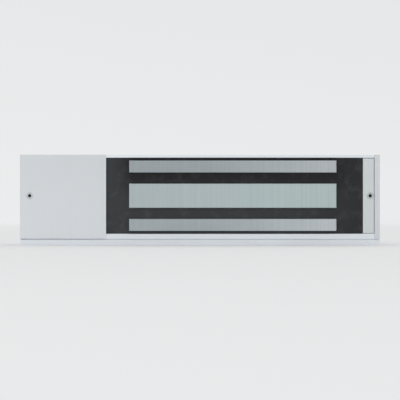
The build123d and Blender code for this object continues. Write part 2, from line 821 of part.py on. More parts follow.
# Partition between the wiring space and the potting, cut out round the rails and ports
with BuildPart() as partition:
    with Locations((partition_x0, rim_y, cavity_z0 + slide_fit)):
        Box(
            partition_thickness, cavity_back - rim_y, cavity_height - 2 * slide_fit, align=corner_3d
        )
    add(housing.part, mode=Mode.SUBTRACT)
    with BuildSketch(Plane.YZ.offset(partition_x0)):
        with Locations(
            (wire_y, mid_z + wire_spread), (wire_y, mid_z - wire_spread), (sensor_y, mid_z)
        ):
            Circle(wire_radius + wire_hole_fit)
        with Locations(*[(port_y, z) for z in port_levels]):
            Circle(cap_screw_radius + thread_fit)
    extrude(amount=partition_thickness, mode=Mode.SUBTRACT)

# Potting: fills the channel from the partition to the right plug, round all that lies in it
with BuildPart() as potting:
    with Locations((potting_x0, potting_y, cavity_z0)):
        Box(potting_x1 - potting_x0, cavity_back - potting_y, cavity_height, align=corner_3d)
    add(housing.part, mode=Mode.SUBTRACT)
    add(core.part, mode=Mode.SUBTRACT)
    add(bobbin.part, mode=Mode.SUBTRACT)
    add(winding.part, mode=Mode.SUBTRACT)
    add(bolt_sleeves.part, mode=Mode.SUBTRACT)
    with Locations(*[(x, bolt_y, cavity_z0) for x in bolt_xs]):
        Cylinder(counterbore_radius, cavity_height, align=upright, mode=Mode.SUBTRACT)
    with BuildSketch(Plane.YZ.offset(potting_x0)):
        with Locations(*[(port_y, z) for z in port_levels]):
            Circle(cap_screw_radius + thread_fit)
    extrude(amount=potting_x1 - potting_x0, mode=Mode.SUBTRACT)
    add(bond_sensor.part, mode=Mode.SUBTRACT)
    add(coil_lead_red, mode=Mode.SUBTRACT)
    add(coil_lead_black, mode=Mode.SUBTRACT)
    add(sensor_lead, mode=Mode.SUBTRACT)

print("lock", round(lock_length, 2), round(lock_depth, 2), round(top_z, 2))
print("wire bends", round(red_bend, 2), round(black_bend, 2), round(sensor_bend, 2))

pieces = {
    "housing": housing.part,
    "mounting_plate": mounting_plate.part,
    "end_cap_left": end_cap_left.part,
    "end_cap_right": end_cap_right.part,
    "end_cap_screws": end_cap_screws.part,
    "wiring_cover": wiring_cover.part,
    "end_plate": end_plate.part,
    "cover_screws": cover_screws.part,
    "partition": partition.part,
    "core": core.part,
    "bobbin": bobbin.part,
    "winding": winding.part,
    "potting": potting.part,
    "bolt_sleeves": bolt_sleeves.part,
    "bolt_washers": bolt_washers.part,
    "mounting_bolts": mounting_bolts.part,
    "tamper_caps": tamper_caps.part,
    "locating_pins": locating_pins.part,
    "wire_grommet": wire_grommet.part,
    "circuit_board": circuit_board.part,
    "board_standoffs": board_standoffs.part,
    "board_screws": board_screws.part,
    "terminal_block": terminal_block.part,
    "terminal_screws": terminal_screws.part,
    "relay": relay.part,
    "voltage_header": voltage_header.part,
    "voltage_jumpers": voltage_jumpers.part,
    "capacitor": capacitor.part,
    "varistor": varistor.part,
    "diode": diode.part,
    "bond_sensor": bond_sensor.part,
    "sensor_lead": sensor_lead,
    "coil_lead_red": coil_lead_red,
    "coil_lead_black": coil_lead_black,
}
for name, piece in pieces.items():
    piece.label = name
    export_step(piece, f"parts/{name}.step")
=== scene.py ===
"""Looks of an electromagnetic lock: its finishes, its finest pieces and the studio around it."""

import json
import logging
from dataclasses import dataclass, field
from enum import Enum
from math import cos, pi, radians, sin
from typing import Callable, ClassVar, Iterable, Sequence

import bmesh
import bpy
from mathutils import Color, Matrix, Vector


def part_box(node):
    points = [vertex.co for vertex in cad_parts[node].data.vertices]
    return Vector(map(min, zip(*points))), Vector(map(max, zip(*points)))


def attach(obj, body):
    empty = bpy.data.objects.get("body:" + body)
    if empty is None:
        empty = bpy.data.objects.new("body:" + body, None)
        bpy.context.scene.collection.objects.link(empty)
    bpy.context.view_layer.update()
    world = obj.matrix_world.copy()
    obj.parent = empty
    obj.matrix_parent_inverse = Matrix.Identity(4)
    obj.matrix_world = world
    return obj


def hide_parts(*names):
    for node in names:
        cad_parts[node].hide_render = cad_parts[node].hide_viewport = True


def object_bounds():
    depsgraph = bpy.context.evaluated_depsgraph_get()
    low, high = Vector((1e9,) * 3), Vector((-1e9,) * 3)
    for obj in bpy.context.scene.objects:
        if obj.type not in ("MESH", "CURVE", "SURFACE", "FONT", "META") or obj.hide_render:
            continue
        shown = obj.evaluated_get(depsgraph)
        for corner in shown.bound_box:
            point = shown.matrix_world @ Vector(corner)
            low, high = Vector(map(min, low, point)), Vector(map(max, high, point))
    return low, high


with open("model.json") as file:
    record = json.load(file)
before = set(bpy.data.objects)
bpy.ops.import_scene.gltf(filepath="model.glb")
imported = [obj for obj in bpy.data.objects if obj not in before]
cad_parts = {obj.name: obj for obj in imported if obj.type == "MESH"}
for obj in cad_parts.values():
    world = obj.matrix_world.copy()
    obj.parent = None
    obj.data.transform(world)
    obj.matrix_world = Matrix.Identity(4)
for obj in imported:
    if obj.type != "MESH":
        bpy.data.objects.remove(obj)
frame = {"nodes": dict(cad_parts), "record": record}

CAD_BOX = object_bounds()
MM = 0.001
BODY = "root"

Colour = tuple[float, float, float]
Place = tuple[float, float, float]
Socket = bpy.types.NodeSocket
Piece = bpy.types.Object
Test = Callable[[Vector], bool]

# Noises: how many finer layers they have, how strong these are, and where most of a noise lies
COARSE_DETAIL = 2.0
FINE_DETAIL = 3.0
FINE_ROUGH = 0.6
PATTERN_LOW = 0.3
PATTERN_HIGH = 0.7

# Meshes: what counts as one point, what as nearly there, and the angle in degrees of a smooth edge
MERGE_DISTANCE = 0.0005 * MM
NEARLY = 0.99
SMOOTH_ANGLE = 32.0

# Numbers of sides
RECTANGLE = 4
HEXAGON = 6

ORIGIN = (0.0, 0.0, 0.0)
BLACK = (0.0, 0.0, 0.0)
FULL_LEVEL = 255

log = logging.getLogger("lock")


def tone(red: int, green: int, blue: int) -> Colour:
    """Turns a screen colour of 0 to 255 into the linear colour that a shader takes."""
    levels = Color((red, green, blue)) / FULL_LEVEL
    return tuple(levels.from_srgb_to_scene_linear())


def shade(colour: Colour, factor: float) -> Colour:
    """Darkens a colour, or lightens it as far as white."""
    return tuple(min(part * factor, 1.0) for part in colour)


class Slot(str, Enum):
    """The record's material slots."""

    HOUSING = "anodised_housing"
    PLATE = "anodised_plate"
    CAP = "cast_cap"
    COVER = "cover_plate"
    END_PLATE = "small_plate"
    POLES = "pole_steel"
    RESIN = "black_epoxy"
    SCREWS = "steel_screws"
    SLEEVES = "sleeve_steel"
    BOLTS = "black_steel"
    TAMPER = "cap_steel"
    PARTITION = "black_nylon"
    BOBBIN = "bobbin_nylon"
    COPPER = "enamelled_copper"
    RUBBER = "black_rubber"
    BOARD = "board_laminate"
    BRASS = "brass_standoffs"
    TERMINAL = "terminal_plastic"
    RELAY = "relay_plastic"
    PINS = "header_pins"
    JUMPER = "jumper_plastic"
    CAPACITOR = "capacitor_sleeve"
    VARISTOR = "varistor_coating"
    DIODE = "diode_body"
    SENSOR = "sensor_resin"
    RED_WIRE = "red_wire"
    BLACK_WIRE = "black_wire"
    GREY_WIRE = "grey_wire"


class Run(Enum):
    """The way that the lines of a finish run: along the lock, through its depth, or upright."""

    ALONG = 0
    DEEP = 1
    UPRIGHT = 2


class HeadForm(Enum):
    """The two forms of screw head."""

    COUNTERSUNK = "countersunk"
    CYLINDER = "cylinder"


@dataclass(frozen=True)
class Extent:
    """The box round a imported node."""

    low: Vector
    high: Vector

    @classmethod
    def of(cls, node: str) -> "Extent":
        """Reads a node's box from the frame."""
        return cls(*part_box(node))

    @property
    def middle(self) -> Vector:
        """The point in the middle of the box."""
        return (self.low + self.high) / 2

    @property
    def size(self) -> Vector:
        """The box's size along each axis."""
        return self.high - self.low


class Graph:
    """A node tree, with short calls for the nodes that the finishes and the studio use."""

    def __init__(self, tree: bpy.types.NodeTree, coordinates: str = "Object") -> None:
        """Empties a tree and starts it with its coordinates.

        Args:
            tree: The tree.
            coordinates: Blender's name for the coordinates that the patterns read.
        """
        self.tree = tree
        self.tree.nodes.clear()
        self.place = self.add("TexCoord").outputs[coordinates]

    def feed(self, target: Socket, value: object) -> None:
        """Links a node's first output or a socket to an input, or writes a plain value there.

        Args:
            target: The input.
            value: The node, the socket or the value.
        """
        if isinstance(value, bpy.types.Node):
            value = value.outputs[0]
        if isinstance(value, Socket):
            self.tree.links.new(value, target)
        elif isinstance(value, tuple) and len(value) < len(target.default_value):
            target.default_value = (*value, 1.0)
        else:
            target.default_value = value

    def fill(self, node: bpy.types.Node, *inputs: object, **named: object) -> bpy.types.Node:
        """Feeds the inputs of a node.

        Args:
            node: The node.
            inputs: What its first inputs get, in order.
            named: What other inputs get, under their names with underscores for spaces.

        Returns:
            The node.
        """
        for target, value in zip(node.inputs, inputs):
            self.feed(target, value)
        for name, value in named.items():
            self.feed(node.inputs[name.replace("_", " ")], value)
        return node

    def add(self, kind: str, *inputs: object, **named: object) -> bpy.types.Node:
        """Adds a node of a kind, called as in Blender without the common start, and feeds its inputs."""
        return self.fill(self.tree.nodes.new("ShaderNode" + kind), *inputs, **named)

    def math(self, operation: str, first: object, second: object = 0.0) -> Socket:
        """Adds a Math node.

        Args:
            operation: Blender's name for the operation.
            first: First value or socket.
            second: Second value or socket.

        Returns:
            The result.
        """
        node = self.add("Math", first, second)
        node.operation = operation
        return node.outputs[0]

    def vector(self, operation: str, output: str, *inputs: object, **named: object) -> Socket:
        """Adds a Vector Math node.

        Args:
            operation: Blender's name for the operation.
            output: Name of the output that holds its result.
            inputs: What its first inputs get, in order.
            named: What other inputs get.

        Returns:
            The result.
        """
        node = self.add("VectorMath")
        node.operation = operation
        return self.fill(node, *inputs, **named).outputs[output]

    def blend(self, *parts: tuple[Socket, float]) -> Socket:
        """Adds up patterns.

        Args:
            parts: Each pattern with its share.

        Returns:
            The sum.
        """
        total, *others = [self.math("MULTIPLY", pattern, share) for pattern, share in parts]
        for other in others:
            total = self.math("ADD", total, other)
        return total

    def vary(self, pattern: Socket, middle: float, reach: float) -> Socket:
        """Maps a pattern of 0 to 1 onto a range that reaches equally far below and above a middle."""
        node = self.add("MapRange", pattern, To_Min=middle - reach, To_Max=middle + reach)
        return node.outputs["Result"]

    def clip(self, value: Socket, low: float, high: float) -> Socket:
        """Maps low to high onto 0 to 1, and holds what is past them."""
        return self.add("MapRange", value, From_Min=low, From_Max=high).outputs["Result"]

    def stretch(self, pattern: Socket) -> Socket:
        """Spreads the range that most of a noise lies in over 0 to 1."""
        return self.clip(pattern, PATTERN_LOW, PATTERN_HIGH)

    def mix(self, share: Socket, first: object, second: object) -> Socket:
        """Mixes two colours.

        Args:
            share: Share of the second colour, from 0 to 1.
            first: First colour or socket.
            second: Second colour or socket.

        Returns:
            The mixed colour.
        """
        node = self.add("Mix", share)
        node.data_type = "RGBA"
        targets = [socket for socket in node.inputs if socket.type == "RGBA"]
        self.feed(targets[0], first)
        self.feed(targets[1], second)
        return next(socket for socket in node.outputs if socket.type == "RGBA")

    def tint(self, colour: object, other: object, where: Socket, strength: object) -> Socket:
        """Mixes another colour into one, with a share that is a pattern of 0 to 1 times a strength."""
        return self.mix(self.math("MULTIPLY", where, strength), colour, other)

    def at(self, size: Place) -> Socket:
        """Scales the coordinates so that a texture's features have a size in metres along each axis."""
        return self.add("Mapping", self.place, Scale=tuple(1 / part for part in size)).outputs[0]

    def noise(self, size: Place | float, detail: float = COARSE_DETAIL, rough: float = 0.5) -> Socket:
        """Adds a noise of about 0 to 1 with features of a size in metres, along each axis or along all."""
        sizes = size if isinstance(size, tuple) else (size, size, size)
        return self.add("TexNoise", self.at(sizes), Scale=1.0, Detail=detail, Roughness=rough).outputs[0]

    def grain(self, size: Place | float) -> Socket:
        """Adds the fine rough noise of a grain, or of lines where its features are long."""
        return self.noise(size, FINE_DETAIL, FINE_ROUGH)

    def bands(self, distance: Socket, width: float) -> Socket:
        """Adds uneven bands that follow a distance.

        Args:
            distance: The distance in metres.
            width: Width of a band in metres.

        Returns:
            The bands, about 0 to 1.
        """
        node = self.add("TexNoise", Scale=1.0, Detail=COARSE_DETAIL)
        node.noise_dimensions = "1D"
        return self.fill(node, W=self.math("DIVIDE", distance, width)).outputs[0]

    def own_tone(self, count: Socket) -> Socket:
        """Gives each whole number of a count a tone of its own.

        Args:
            count: The count, with its fractions.

        Returns:
            The tone, from 0 to 1.
        """
        node = self.add("TexWhiteNoise")
        node.noise_dimensions = "1D"
        return self.fill(node, W=self.math("FLOOR", count)).outputs["Value"]

    def specks(self, size: float, reach: float) -> Socket:
        """Adds scattered round specks, 1 in their middles, whose radius is a share of their distance."""
        node = self.add("TexVoronoi", self.at((size, size, size)), Scale=1.0)
        return self.clip(node.outputs["Distance"], reach, 0.0)

    def bump(self, height: Socket, depth: float, *below: Socket) -> Socket:
        """Adds a bump of a real depth.

        Args:
            height: Height from 0 to 1.
            depth: What a height of 1 stands for, in metres.
            below: Normal of a bump beneath this one, if there is one.

        Returns:
            The bumped normal.
        """
        node = self.add("Bump", Height=height, Distance=depth)
        for normal in below:
            self.fill(node, Normal=normal)
        return node.outputs[0]

    def axis(self, way: Run) -> Socket:
        """The coordinate along one axis, in metres."""
        return self.add("SeparateXYZ", self.place).outputs[way.value]

    def ramp(self, way: Run, start: float, end: float) -> Socket:
        """Rises from 0 at one place along an axis to 1 at another, both in metres."""
        return self.clip(self.axis(way), start, end)

    def off(self, value: Socket, middle: float) -> Socket:
        """How far a value is from a middle one, either way."""
        return self.math("ABSOLUTE", self.math("SUBTRACT", value, middle))


class Surface(Graph):
    """The node tree of one material, round a Principled shader."""

    def __init__(self, name: str) -> None:
        """Makes the material.

        Args:
            name: Name of the material.
        """
        self.material = bpy.data.materials.new(name)
        self.material.use_nodes = True
        super().__init__(self.material.node_tree)
        self.shader = self.add("BsdfPrincipled")
        self.output = self.add("OutputMaterial", self.shader)

    def finish(self, **named: object) -> None:
        """Feeds inputs of the shader, under their names with underscores for spaces."""
        self.fill(self.shader, **named)


@dataclass(frozen=True)
class Finish:
    """A surface finish, with what every finish has."""

    colour: Colour
    roughness: float

    def make(self, name: str) -> bpy.types.Material:
        """Makes the finish's material.

        Args:
            name: Name of the material.

        Returns:
            The material.
        """
        surface = Surface(name)
        self.paint(surface)
        return surface.material

    def paint(self, surface: Surface) -> None:
        """Draws the finish into a material's node tree."""
        raise NotImplementedError


@dataclass(frozen=True)
class Anodised(Finish):
    """Satin anodised aluminium with the fine lines of an extrusion die or a brush.

    Attributes:
        run: The way that the lines and streaks run.
        line_share: Share of the lines in the tone, beside streak_share and cloud_share.
        tone_range: How much darker and lighter than its colour the metal is, at most.
        fade: Painted shade: how much darker it is at fade_reach above the ground than at the ground.
    """

    run: Run = Run.ALONG
    line_width: float = 0.16 * MM
    line_length: float = 45 * MM
    line_depth: float = 0.009 * MM
    streak_width: float = 0.9 * MM
    cloud_size: float = 38 * MM
    line_share: float = 0.4
    streak_share: float = 0.25
    cloud_share: float = 0.35
    tone_range: float = 0.05
    gloss_range: float = 0.05
    fade: float = 0.0
    fade_reach: float = 70 * MM

    def lined(self, width: float) -> Place:
        """Size of a noise that is drawn out into lines of a given width."""
        return tuple(self.line_length if way is self.run else width for way in Run)

    def paint(self, surface: Surface) -> None:
        """Draws lines, wider streaks and a slow cloud in tone and gloss, and painted shade that darkens it
        slightly upwards.

        Args:
            surface: The material's node tree.
        """
        lines = surface.grain(self.lined(self.line_width))
        streaks = surface.noise(self.lined(self.streak_width))
        cloud = surface.noise(self.cloud_size)
        mottled = surface.blend(
            (lines, self.line_share), (streaks, self.streak_share), (cloud, self.cloud_share)
        )
        darker = shade(self.colour, 1 - self.tone_range)
        lighter = shade(self.colour, 1 + self.tone_range)
        colour = surface.mix(surface.stretch(mottled), darker, lighter)
        # Painted shade: the metal is darker higher up, as if less light fell there.
        if self.fade:
            height = surface.ramp(Run.UPRIGHT, 0.0, self.fade_reach)
            colour = surface.tint(colour, BLACK, height, self.fade)
        surface.finish(
            Base_Color=colour,
            Metallic=1.0,
            Roughness=surface.vary(lines, self.roughness, self.gloss_range),
            Normal=surface.bump(streaks, self.line_depth / 2, surface.bump(lines, self.line_depth)),
        )


@dataclass(frozen=True)
class Blasted(Finish):
    """Cast aluminium, bead blasted before it was anodised."""

    grain: float = 0.28 * MM
    grain_depth: float = 0.02 * MM
    cloud_size: float = 22 * MM
    cloud_tone: float = 0.94
    gloss_range: float = 0.05

    def paint(self, surface: Surface) -> None:
        """Draws small dents of one size and a slow cloud.

        Args:
            surface: The material's node tree.
        """
        dents = surface.noise(self.grain, rough=FINE_ROUGH)
        cloud = surface.noise(self.cloud_size)
        surface.finish(
            Base_Color=surface.mix(cloud, shade(self.colour, self.cloud_tone), self.colour),
            Metallic=1.0,
            Roughness=surface.vary(dents, self.roughness, self.gloss_range),
            Normal=surface.bump(dents, self.grain_depth),
        )


@dataclass(frozen=True)
class GroundStack(Finish):
    """Stacked steel sheets, ground flat together and plated: seams across, grinding lines along.

    Attributes:
        sheet: Thickness of a sheet.
        sheet_tone: How much darker the darkest sheet is than the lightest.
        seam_share: Width of a seam, as a share of a sheet.
        drift_share: Share of a drift that grows along the lock. The rest follows a cloud.
        glow: Colour that the middle strip drifts to between glow_start and glow_end.
        dull: Colour of the two outer strips.
        dull_glow: Colour that they drift to between dull_start and dull_end.
        top_strip_shade: Painted shade: how much darker the upper strip is than the lower one.
        middle_level: Level of the middle strip.
        middle_reach: How far from that level its colour holds.
    """

    sheet: float = 0.5 * MM
    sheet_tone: float = 0.07
    seam_share: float = 0.16
    seam_strength: float = 0.8
    seam_tone: float = 0.75
    line_width: float = 0.2 * MM
    line_length: float = 30 * MM
    line_depth: float = 0.004 * MM
    gloss_range: float = 0.06
    cloud_size: Place = (34 * MM, 12 * MM, 12 * MM)
    drift_share: float = 0.7
    glow: Colour = tone(191, 207, 206)
    glow_start: float = -50 * MM
    glow_end: float = 60 * MM
    dull: Colour = tone(167, 176, 180)
    dull_glow: Colour = tone(206, 212, 215)
    dull_start: float = 5 * MM
    dull_end: float = 95 * MM
    top_strip_shade: float = 0.1
    middle_level: float = 0.0
    middle_reach: float = 10 * MM

    def drift(self, surface: Surface, start: float, end: float) -> Socket:
        """Share of the plating that glows, which grows along the lock, unevenly.

        Args:
            surface: The material's node tree.
            start: Where it starts to grow.
            end: Where it is full.

        Returns:
            The share.
        """
        along = surface.ramp(Run.ALONG, start, end)
        cloud = surface.noise(self.cloud_size, FINE_DETAIL)
        return surface.blend((along, self.drift_share), (cloud, 1 - self.drift_share))

    def plating(self, surface: Surface) -> Socket:
        """Colour of the plating: one for the middle strip, and duller ones for the two outer strips, with
        painted shade on the upper one.

        Args:
            surface: The material's node tree.

        Returns:
            The colour.
        """
        middle = surface.mix(self.drift(surface, self.glow_start, self.glow_end), self.colour, self.glow)
        outer = surface.mix(self.drift(surface, self.dull_start, self.dull_end), self.dull, self.dull_glow)
        level = surface.axis(Run.UPRIGHT)
        # Painted shade: the upper outer strip is darker than the lower one, as the light falls on them.
        upper = surface.math("GREATER_THAN", level, self.middle_level)
        outer = surface.tint(outer, BLACK, upper, self.top_strip_shade)
        off = surface.off(level, self.middle_level)
        return surface.mix(surface.math("GREATER_THAN", off, self.middle_reach), middle, outer)

    def paint(self, surface: Surface) -> None:
        """Draws seams, a tone for each sheet, grinding lines, plating that changes from place to place, and
        painted shade on the upper strip.

        Args:
            surface: The material's node tree.
        """
        sheets = surface.math("DIVIDE", surface.axis(Run.ALONG), self.sheet)
        within = surface.off(surface.math("FRACT", sheets), 0.5)
        seam = surface.clip(within, 0.5 - self.seam_share / 2, 0.5)
        lines = surface.grain((self.line_length, self.line_width, self.line_width))
        shaded = surface.tint(self.plating(surface), BLACK, surface.own_tone(sheets), self.sheet_tone)
        ground = surface.bump(lines, self.line_depth)
        surface.finish(
            Base_Color=surface.tint(shaded, shade(self.colour, self.seam_tone), seam, self.seam_strength),
            Metallic=1.0,
            Roughness=surface.vary(lines, self.roughness, self.gloss_range),
            Normal=surface.bump(surface.math("SUBTRACT", 1.0, seam), 2 * self.line_depth, ground),
        )


@dataclass(frozen=True)
class CastResin(Finish):
    """Potting resin that was poured and set: nearly flat, with slow waves, a few pits and dust.

    Attributes:
        wave: Size of the slow waves.
        pit_distance: Mean distance between pits.
        pit_reach: Radius of a pit, as a share of that distance.
        veil_size: Size of the clouds that the dust lies in.
        veil_start: Value of the clouds from which dust lies, fully at veil_full.
        right_painted_shade: Colour of painted shade that darkens the resin towards the right end, fully from
            right_shade_end on.
        upper_painted_shade: Colour of painted shade higher up, where the upper pole strip shades the resin.
        upper_shade_low: Level from which the painted shade shows, fully at upper_shade_high.
        upper_shade_start: Place along the lock from which it shows, fully at upper_shade_end.
        upper_shade_thins: Place from which it shows less and less, down to nothing at upper_shade_gone.
    """

    shine: float = 0.3
    wave: float = 16 * MM
    wave_depth: float = 0.35 * MM
    pit_distance: float = 5.5 * MM
    pit_reach: float = 0.07
    pit_depth: float = 0.15 * MM
    grain: float = 0.5 * MM
    grain_depth: float = 0.012 * MM
    gloss_range: float = 0.07
    veil_size: float = 9 * MM
    veil_detail: float = 5.0
    veil_start: float = 0.5
    veil_full: float = 0.85
    veil_strength: float = 0.22
    dust: Colour = (0.16, 0.165, 0.17)
    right_painted_shade: Colour = tone(33, 35, 38)
    right_shade_start: float = 70 * MM
    right_shade_end: float = 120 * MM
    upper_painted_shade: Colour = (0.006, 0.005, 0.007)
    upper_shade_low: float = 36 * MM
    upper_shade_high: float = 50 * MM
    upper_shade_start: float = -66 * MM
    upper_shade_end: float = -50 * MM
    upper_shade_thins: float = 100 * MM
    upper_shade_gone: float = 124 * MM

    def paint(self, surface: Surface) -> None:
        """Draws waves, pits, grain and dust, painted shade that darkens the resin towards the right end, and
        painted shade higher up.

        Args:
            surface: The material's node tree.
        """
        grain = surface.grain(self.grain)
        cloud = surface.noise(self.veil_size, self.veil_detail, FINE_ROUGH)
        veil = surface.clip(cloud, self.veil_start, self.veil_full)
        # Painted shade: the resin grows darker towards the right end, where less light falls.
        right_painted_shade = surface.ramp(Run.ALONG, self.right_shade_start, self.right_shade_end)
        # Painted shade: darker higher up, where the upper pole strip shades the resin, and less so near the
        # two ends.
        higher = surface.ramp(Run.UPRIGHT, self.upper_shade_low, self.upper_shade_high)
        past = surface.ramp(Run.ALONG, self.upper_shade_start, self.upper_shade_end)
        before = surface.ramp(Run.ALONG, self.upper_shade_gone, self.upper_shade_thins)
        resin = surface.mix(right_painted_shade, self.colour, self.right_painted_shade)
        resin = surface.tint(resin, self.upper_painted_shade, higher, surface.math("MINIMUM", past, before))
        waves = surface.bump(surface.noise(self.wave, 1.0), self.wave_depth)
        pits = surface.specks(self.pit_distance, self.pit_reach)
        rough = surface.bump(grain, self.grain_depth, waves)
        surface.finish(
            Base_Color=surface.tint(resin, self.dust, veil, self.veil_strength),
            Roughness=surface.vary(grain, self.roughness, self.gloss_range),
            Specular_IOR_Level=self.shine,
            Normal=surface.bump(surface.math("SUBTRACT", 1.0, pits), self.pit_depth, rough),
        )


@dataclass(frozen=True)
class Turned(Finish):
    """Turned steel, with rings round each of the two places where like pieces stand.

    Attributes:
        centre: Middle between the places.
        apart: Distance between them along each axis.
        facing: The way that their turned faces point.
        ring: Width of a ring.
        ring_tone: Tone of the darkest ring, as a share of the colour.
    """

    centre: Place = ORIGIN
    apart: Place = ORIGIN
    facing: Run = Run.UPRIGHT
    ring: float = 0.3 * MM
    ring_depth: float = 0.012 * MM
    ring_tone: float = 0.84
    gloss_range: float = 0.05

    def radius(self, surface: Surface) -> Socket:
        """Distance from the nearest axis, which lies half of `apart` to each side of the centre.

        Args:
            surface: The material's node tree.

        Returns:
            The distance in metres.
        """
        squares = []
        for way in Run:
            if way is not self.facing:
                off = surface.off(surface.axis(way), self.centre[way.value])
                off = surface.math("SUBTRACT", off, self.apart[way.value] / 2)
                squares.append(surface.math("MULTIPLY", off, off))
        return surface.math("SQRT", surface.math("ADD", *squares))

    def paint(self, surface: Surface) -> None:
        """Draws the rings, with a slight tone and gloss of their own.

        Args:
            surface: The material's node tree.
        """
        rings = surface.bands(self.radius(surface), self.ring)
        darker = shade(self.colour, self.ring_tone)
        surface.finish(
            Base_Color=surface.mix(surface.stretch(rings), darker, self.colour),
            Metallic=1.0,
            Roughness=surface.vary(rings, self.roughness, -self.gloss_range),
            Normal=surface.bump(rings, self.ring_depth),
        )


@dataclass(frozen=True)
class PlainMetal(Finish):
    """Plated or bare metal with a fine uneven grain."""

    grain: float = 0.25 * MM
    grain_depth: float = 0.006 * MM
    patch: float = 3 * MM
    patch_tone: float = 0.82
    gloss_range: float = 0.06

    def paint(self, surface: Surface) -> None:
        """Draws the grain and a patchy tone.

        Args:
            surface: The material's node tree.
        """
        patches = surface.noise(self.patch, FINE_DETAIL)
        darker = shade(self.colour, self.patch_tone)
        surface.finish(
            Base_Color=surface.mix(surface.stretch(patches), darker, self.colour),
            Metallic=1.0,
            Roughness=surface.vary(patches, self.roughness, self.gloss_range),
            Normal=surface.bump(surface.grain(self.grain), self.grain_depth),
        )


@dataclass(frozen=True)
class Moulded(Finish):
    """Moulded plastic or rubber with the fine texture of its tool."""

    grain: float = 0.22 * MM
    grain_depth: float = 0.012 * MM
    flow: float = 7 * MM
    flow_tone: float = 0.85
    gloss_range: float = 0.05
    coat: float = 0.0

    def paint(self, surface: Surface) -> None:
        """Draws the tool's texture and faint flow clouds.

        Args:
            surface: The material's node tree.
        """
        grain = surface.grain(self.grain)
        flow = surface.noise(self.flow, FINE_DETAIL)
        surface.finish(
            Base_Color=surface.mix(flow, shade(self.colour, self.flow_tone), self.colour),
            Roughness=surface.vary(grain, self.roughness, self.gloss_range),
            Coat_Weight=self.coat,
            Normal=surface.bump(grain, self.grain_depth),
        )


@dataclass(frozen=True)
class EnamelledWire(Finish):
    """Copper wire under a thin amber enamel."""

    enamel: Colour = (0.34, 0.09, 0.03)
    patch: Place = (14 * MM, 1.2 * MM, 3 * MM)
    patch_start: float = 0.35
    patch_full: float = 0.75
    gloss_range: float = 0.06
    coat: float = 0.6
    coat_roughness: float = 0.18

    def paint(self, surface: Surface) -> None:
        """Draws copper whose enamel is thicker in slow patches.

        Args:
            surface: The material's node tree.
        """
        patches = surface.noise(self.patch, FINE_DETAIL)
        thicker = surface.clip(patches, self.patch_start, self.patch_full)
        surface.finish(
            Base_Color=surface.mix(thicker, self.colour, self.enamel),
            Metallic=1.0,
            Roughness=surface.vary(patches, self.roughness, self.gloss_range),
            Coat_Weight=self.coat,
            Coat_Roughness=self.coat_roughness,
        )


@dataclass(frozen=True)
class Laminate(Finish):
    """Circuit board: glass cloth that shows faintly through solder mask.

    Attributes:
        weave: Distance between two threads of the cloth.
        cloth_share: Share of the cloth in the tone. The rest follows a cloud.
        cloth_tone: Tone where the mask is darkest, as a share of the colour.
    """

    weave: float = 0.9 * MM
    weave_depth: float = 0.01 * MM
    cloth_share: float = 0.45
    cloth_tone: float = 0.7
    cloud_size: float = 11 * MM
    coat: float = 0.35

    def threads(self, surface: Surface, way: Run) -> Socket:
        """One set of the cloth's threads, as a wave of -1 to 1."""
        return surface.math("SINE", surface.math("MULTIPLY", surface.axis(way), 2 * pi / self.weave))

    def paint(self, surface: Surface) -> None:
        """Draws the cloth's two sets of threads under the mask.

        Args:
            surface: The material's node tree.
        """
        crossed = surface.math("MULTIPLY", *[self.threads(surface, way) for way in (Run.ALONG, Run.UPRIGHT)])
        cloth = surface.clip(crossed, -1.0, 1.0)
        cloud = surface.noise(self.cloud_size, FINE_DETAIL)
        share = surface.blend((cloth, self.cloth_share), (cloud, 1 - self.cloth_share))
        surface.finish(
            Base_Color=surface.mix(share, shade(self.colour, self.cloth_tone), self.colour),
            Roughness=self.roughness,
            Coat_Weight=self.coat,
            Normal=surface.bump(cloth, self.weave_depth),
        )


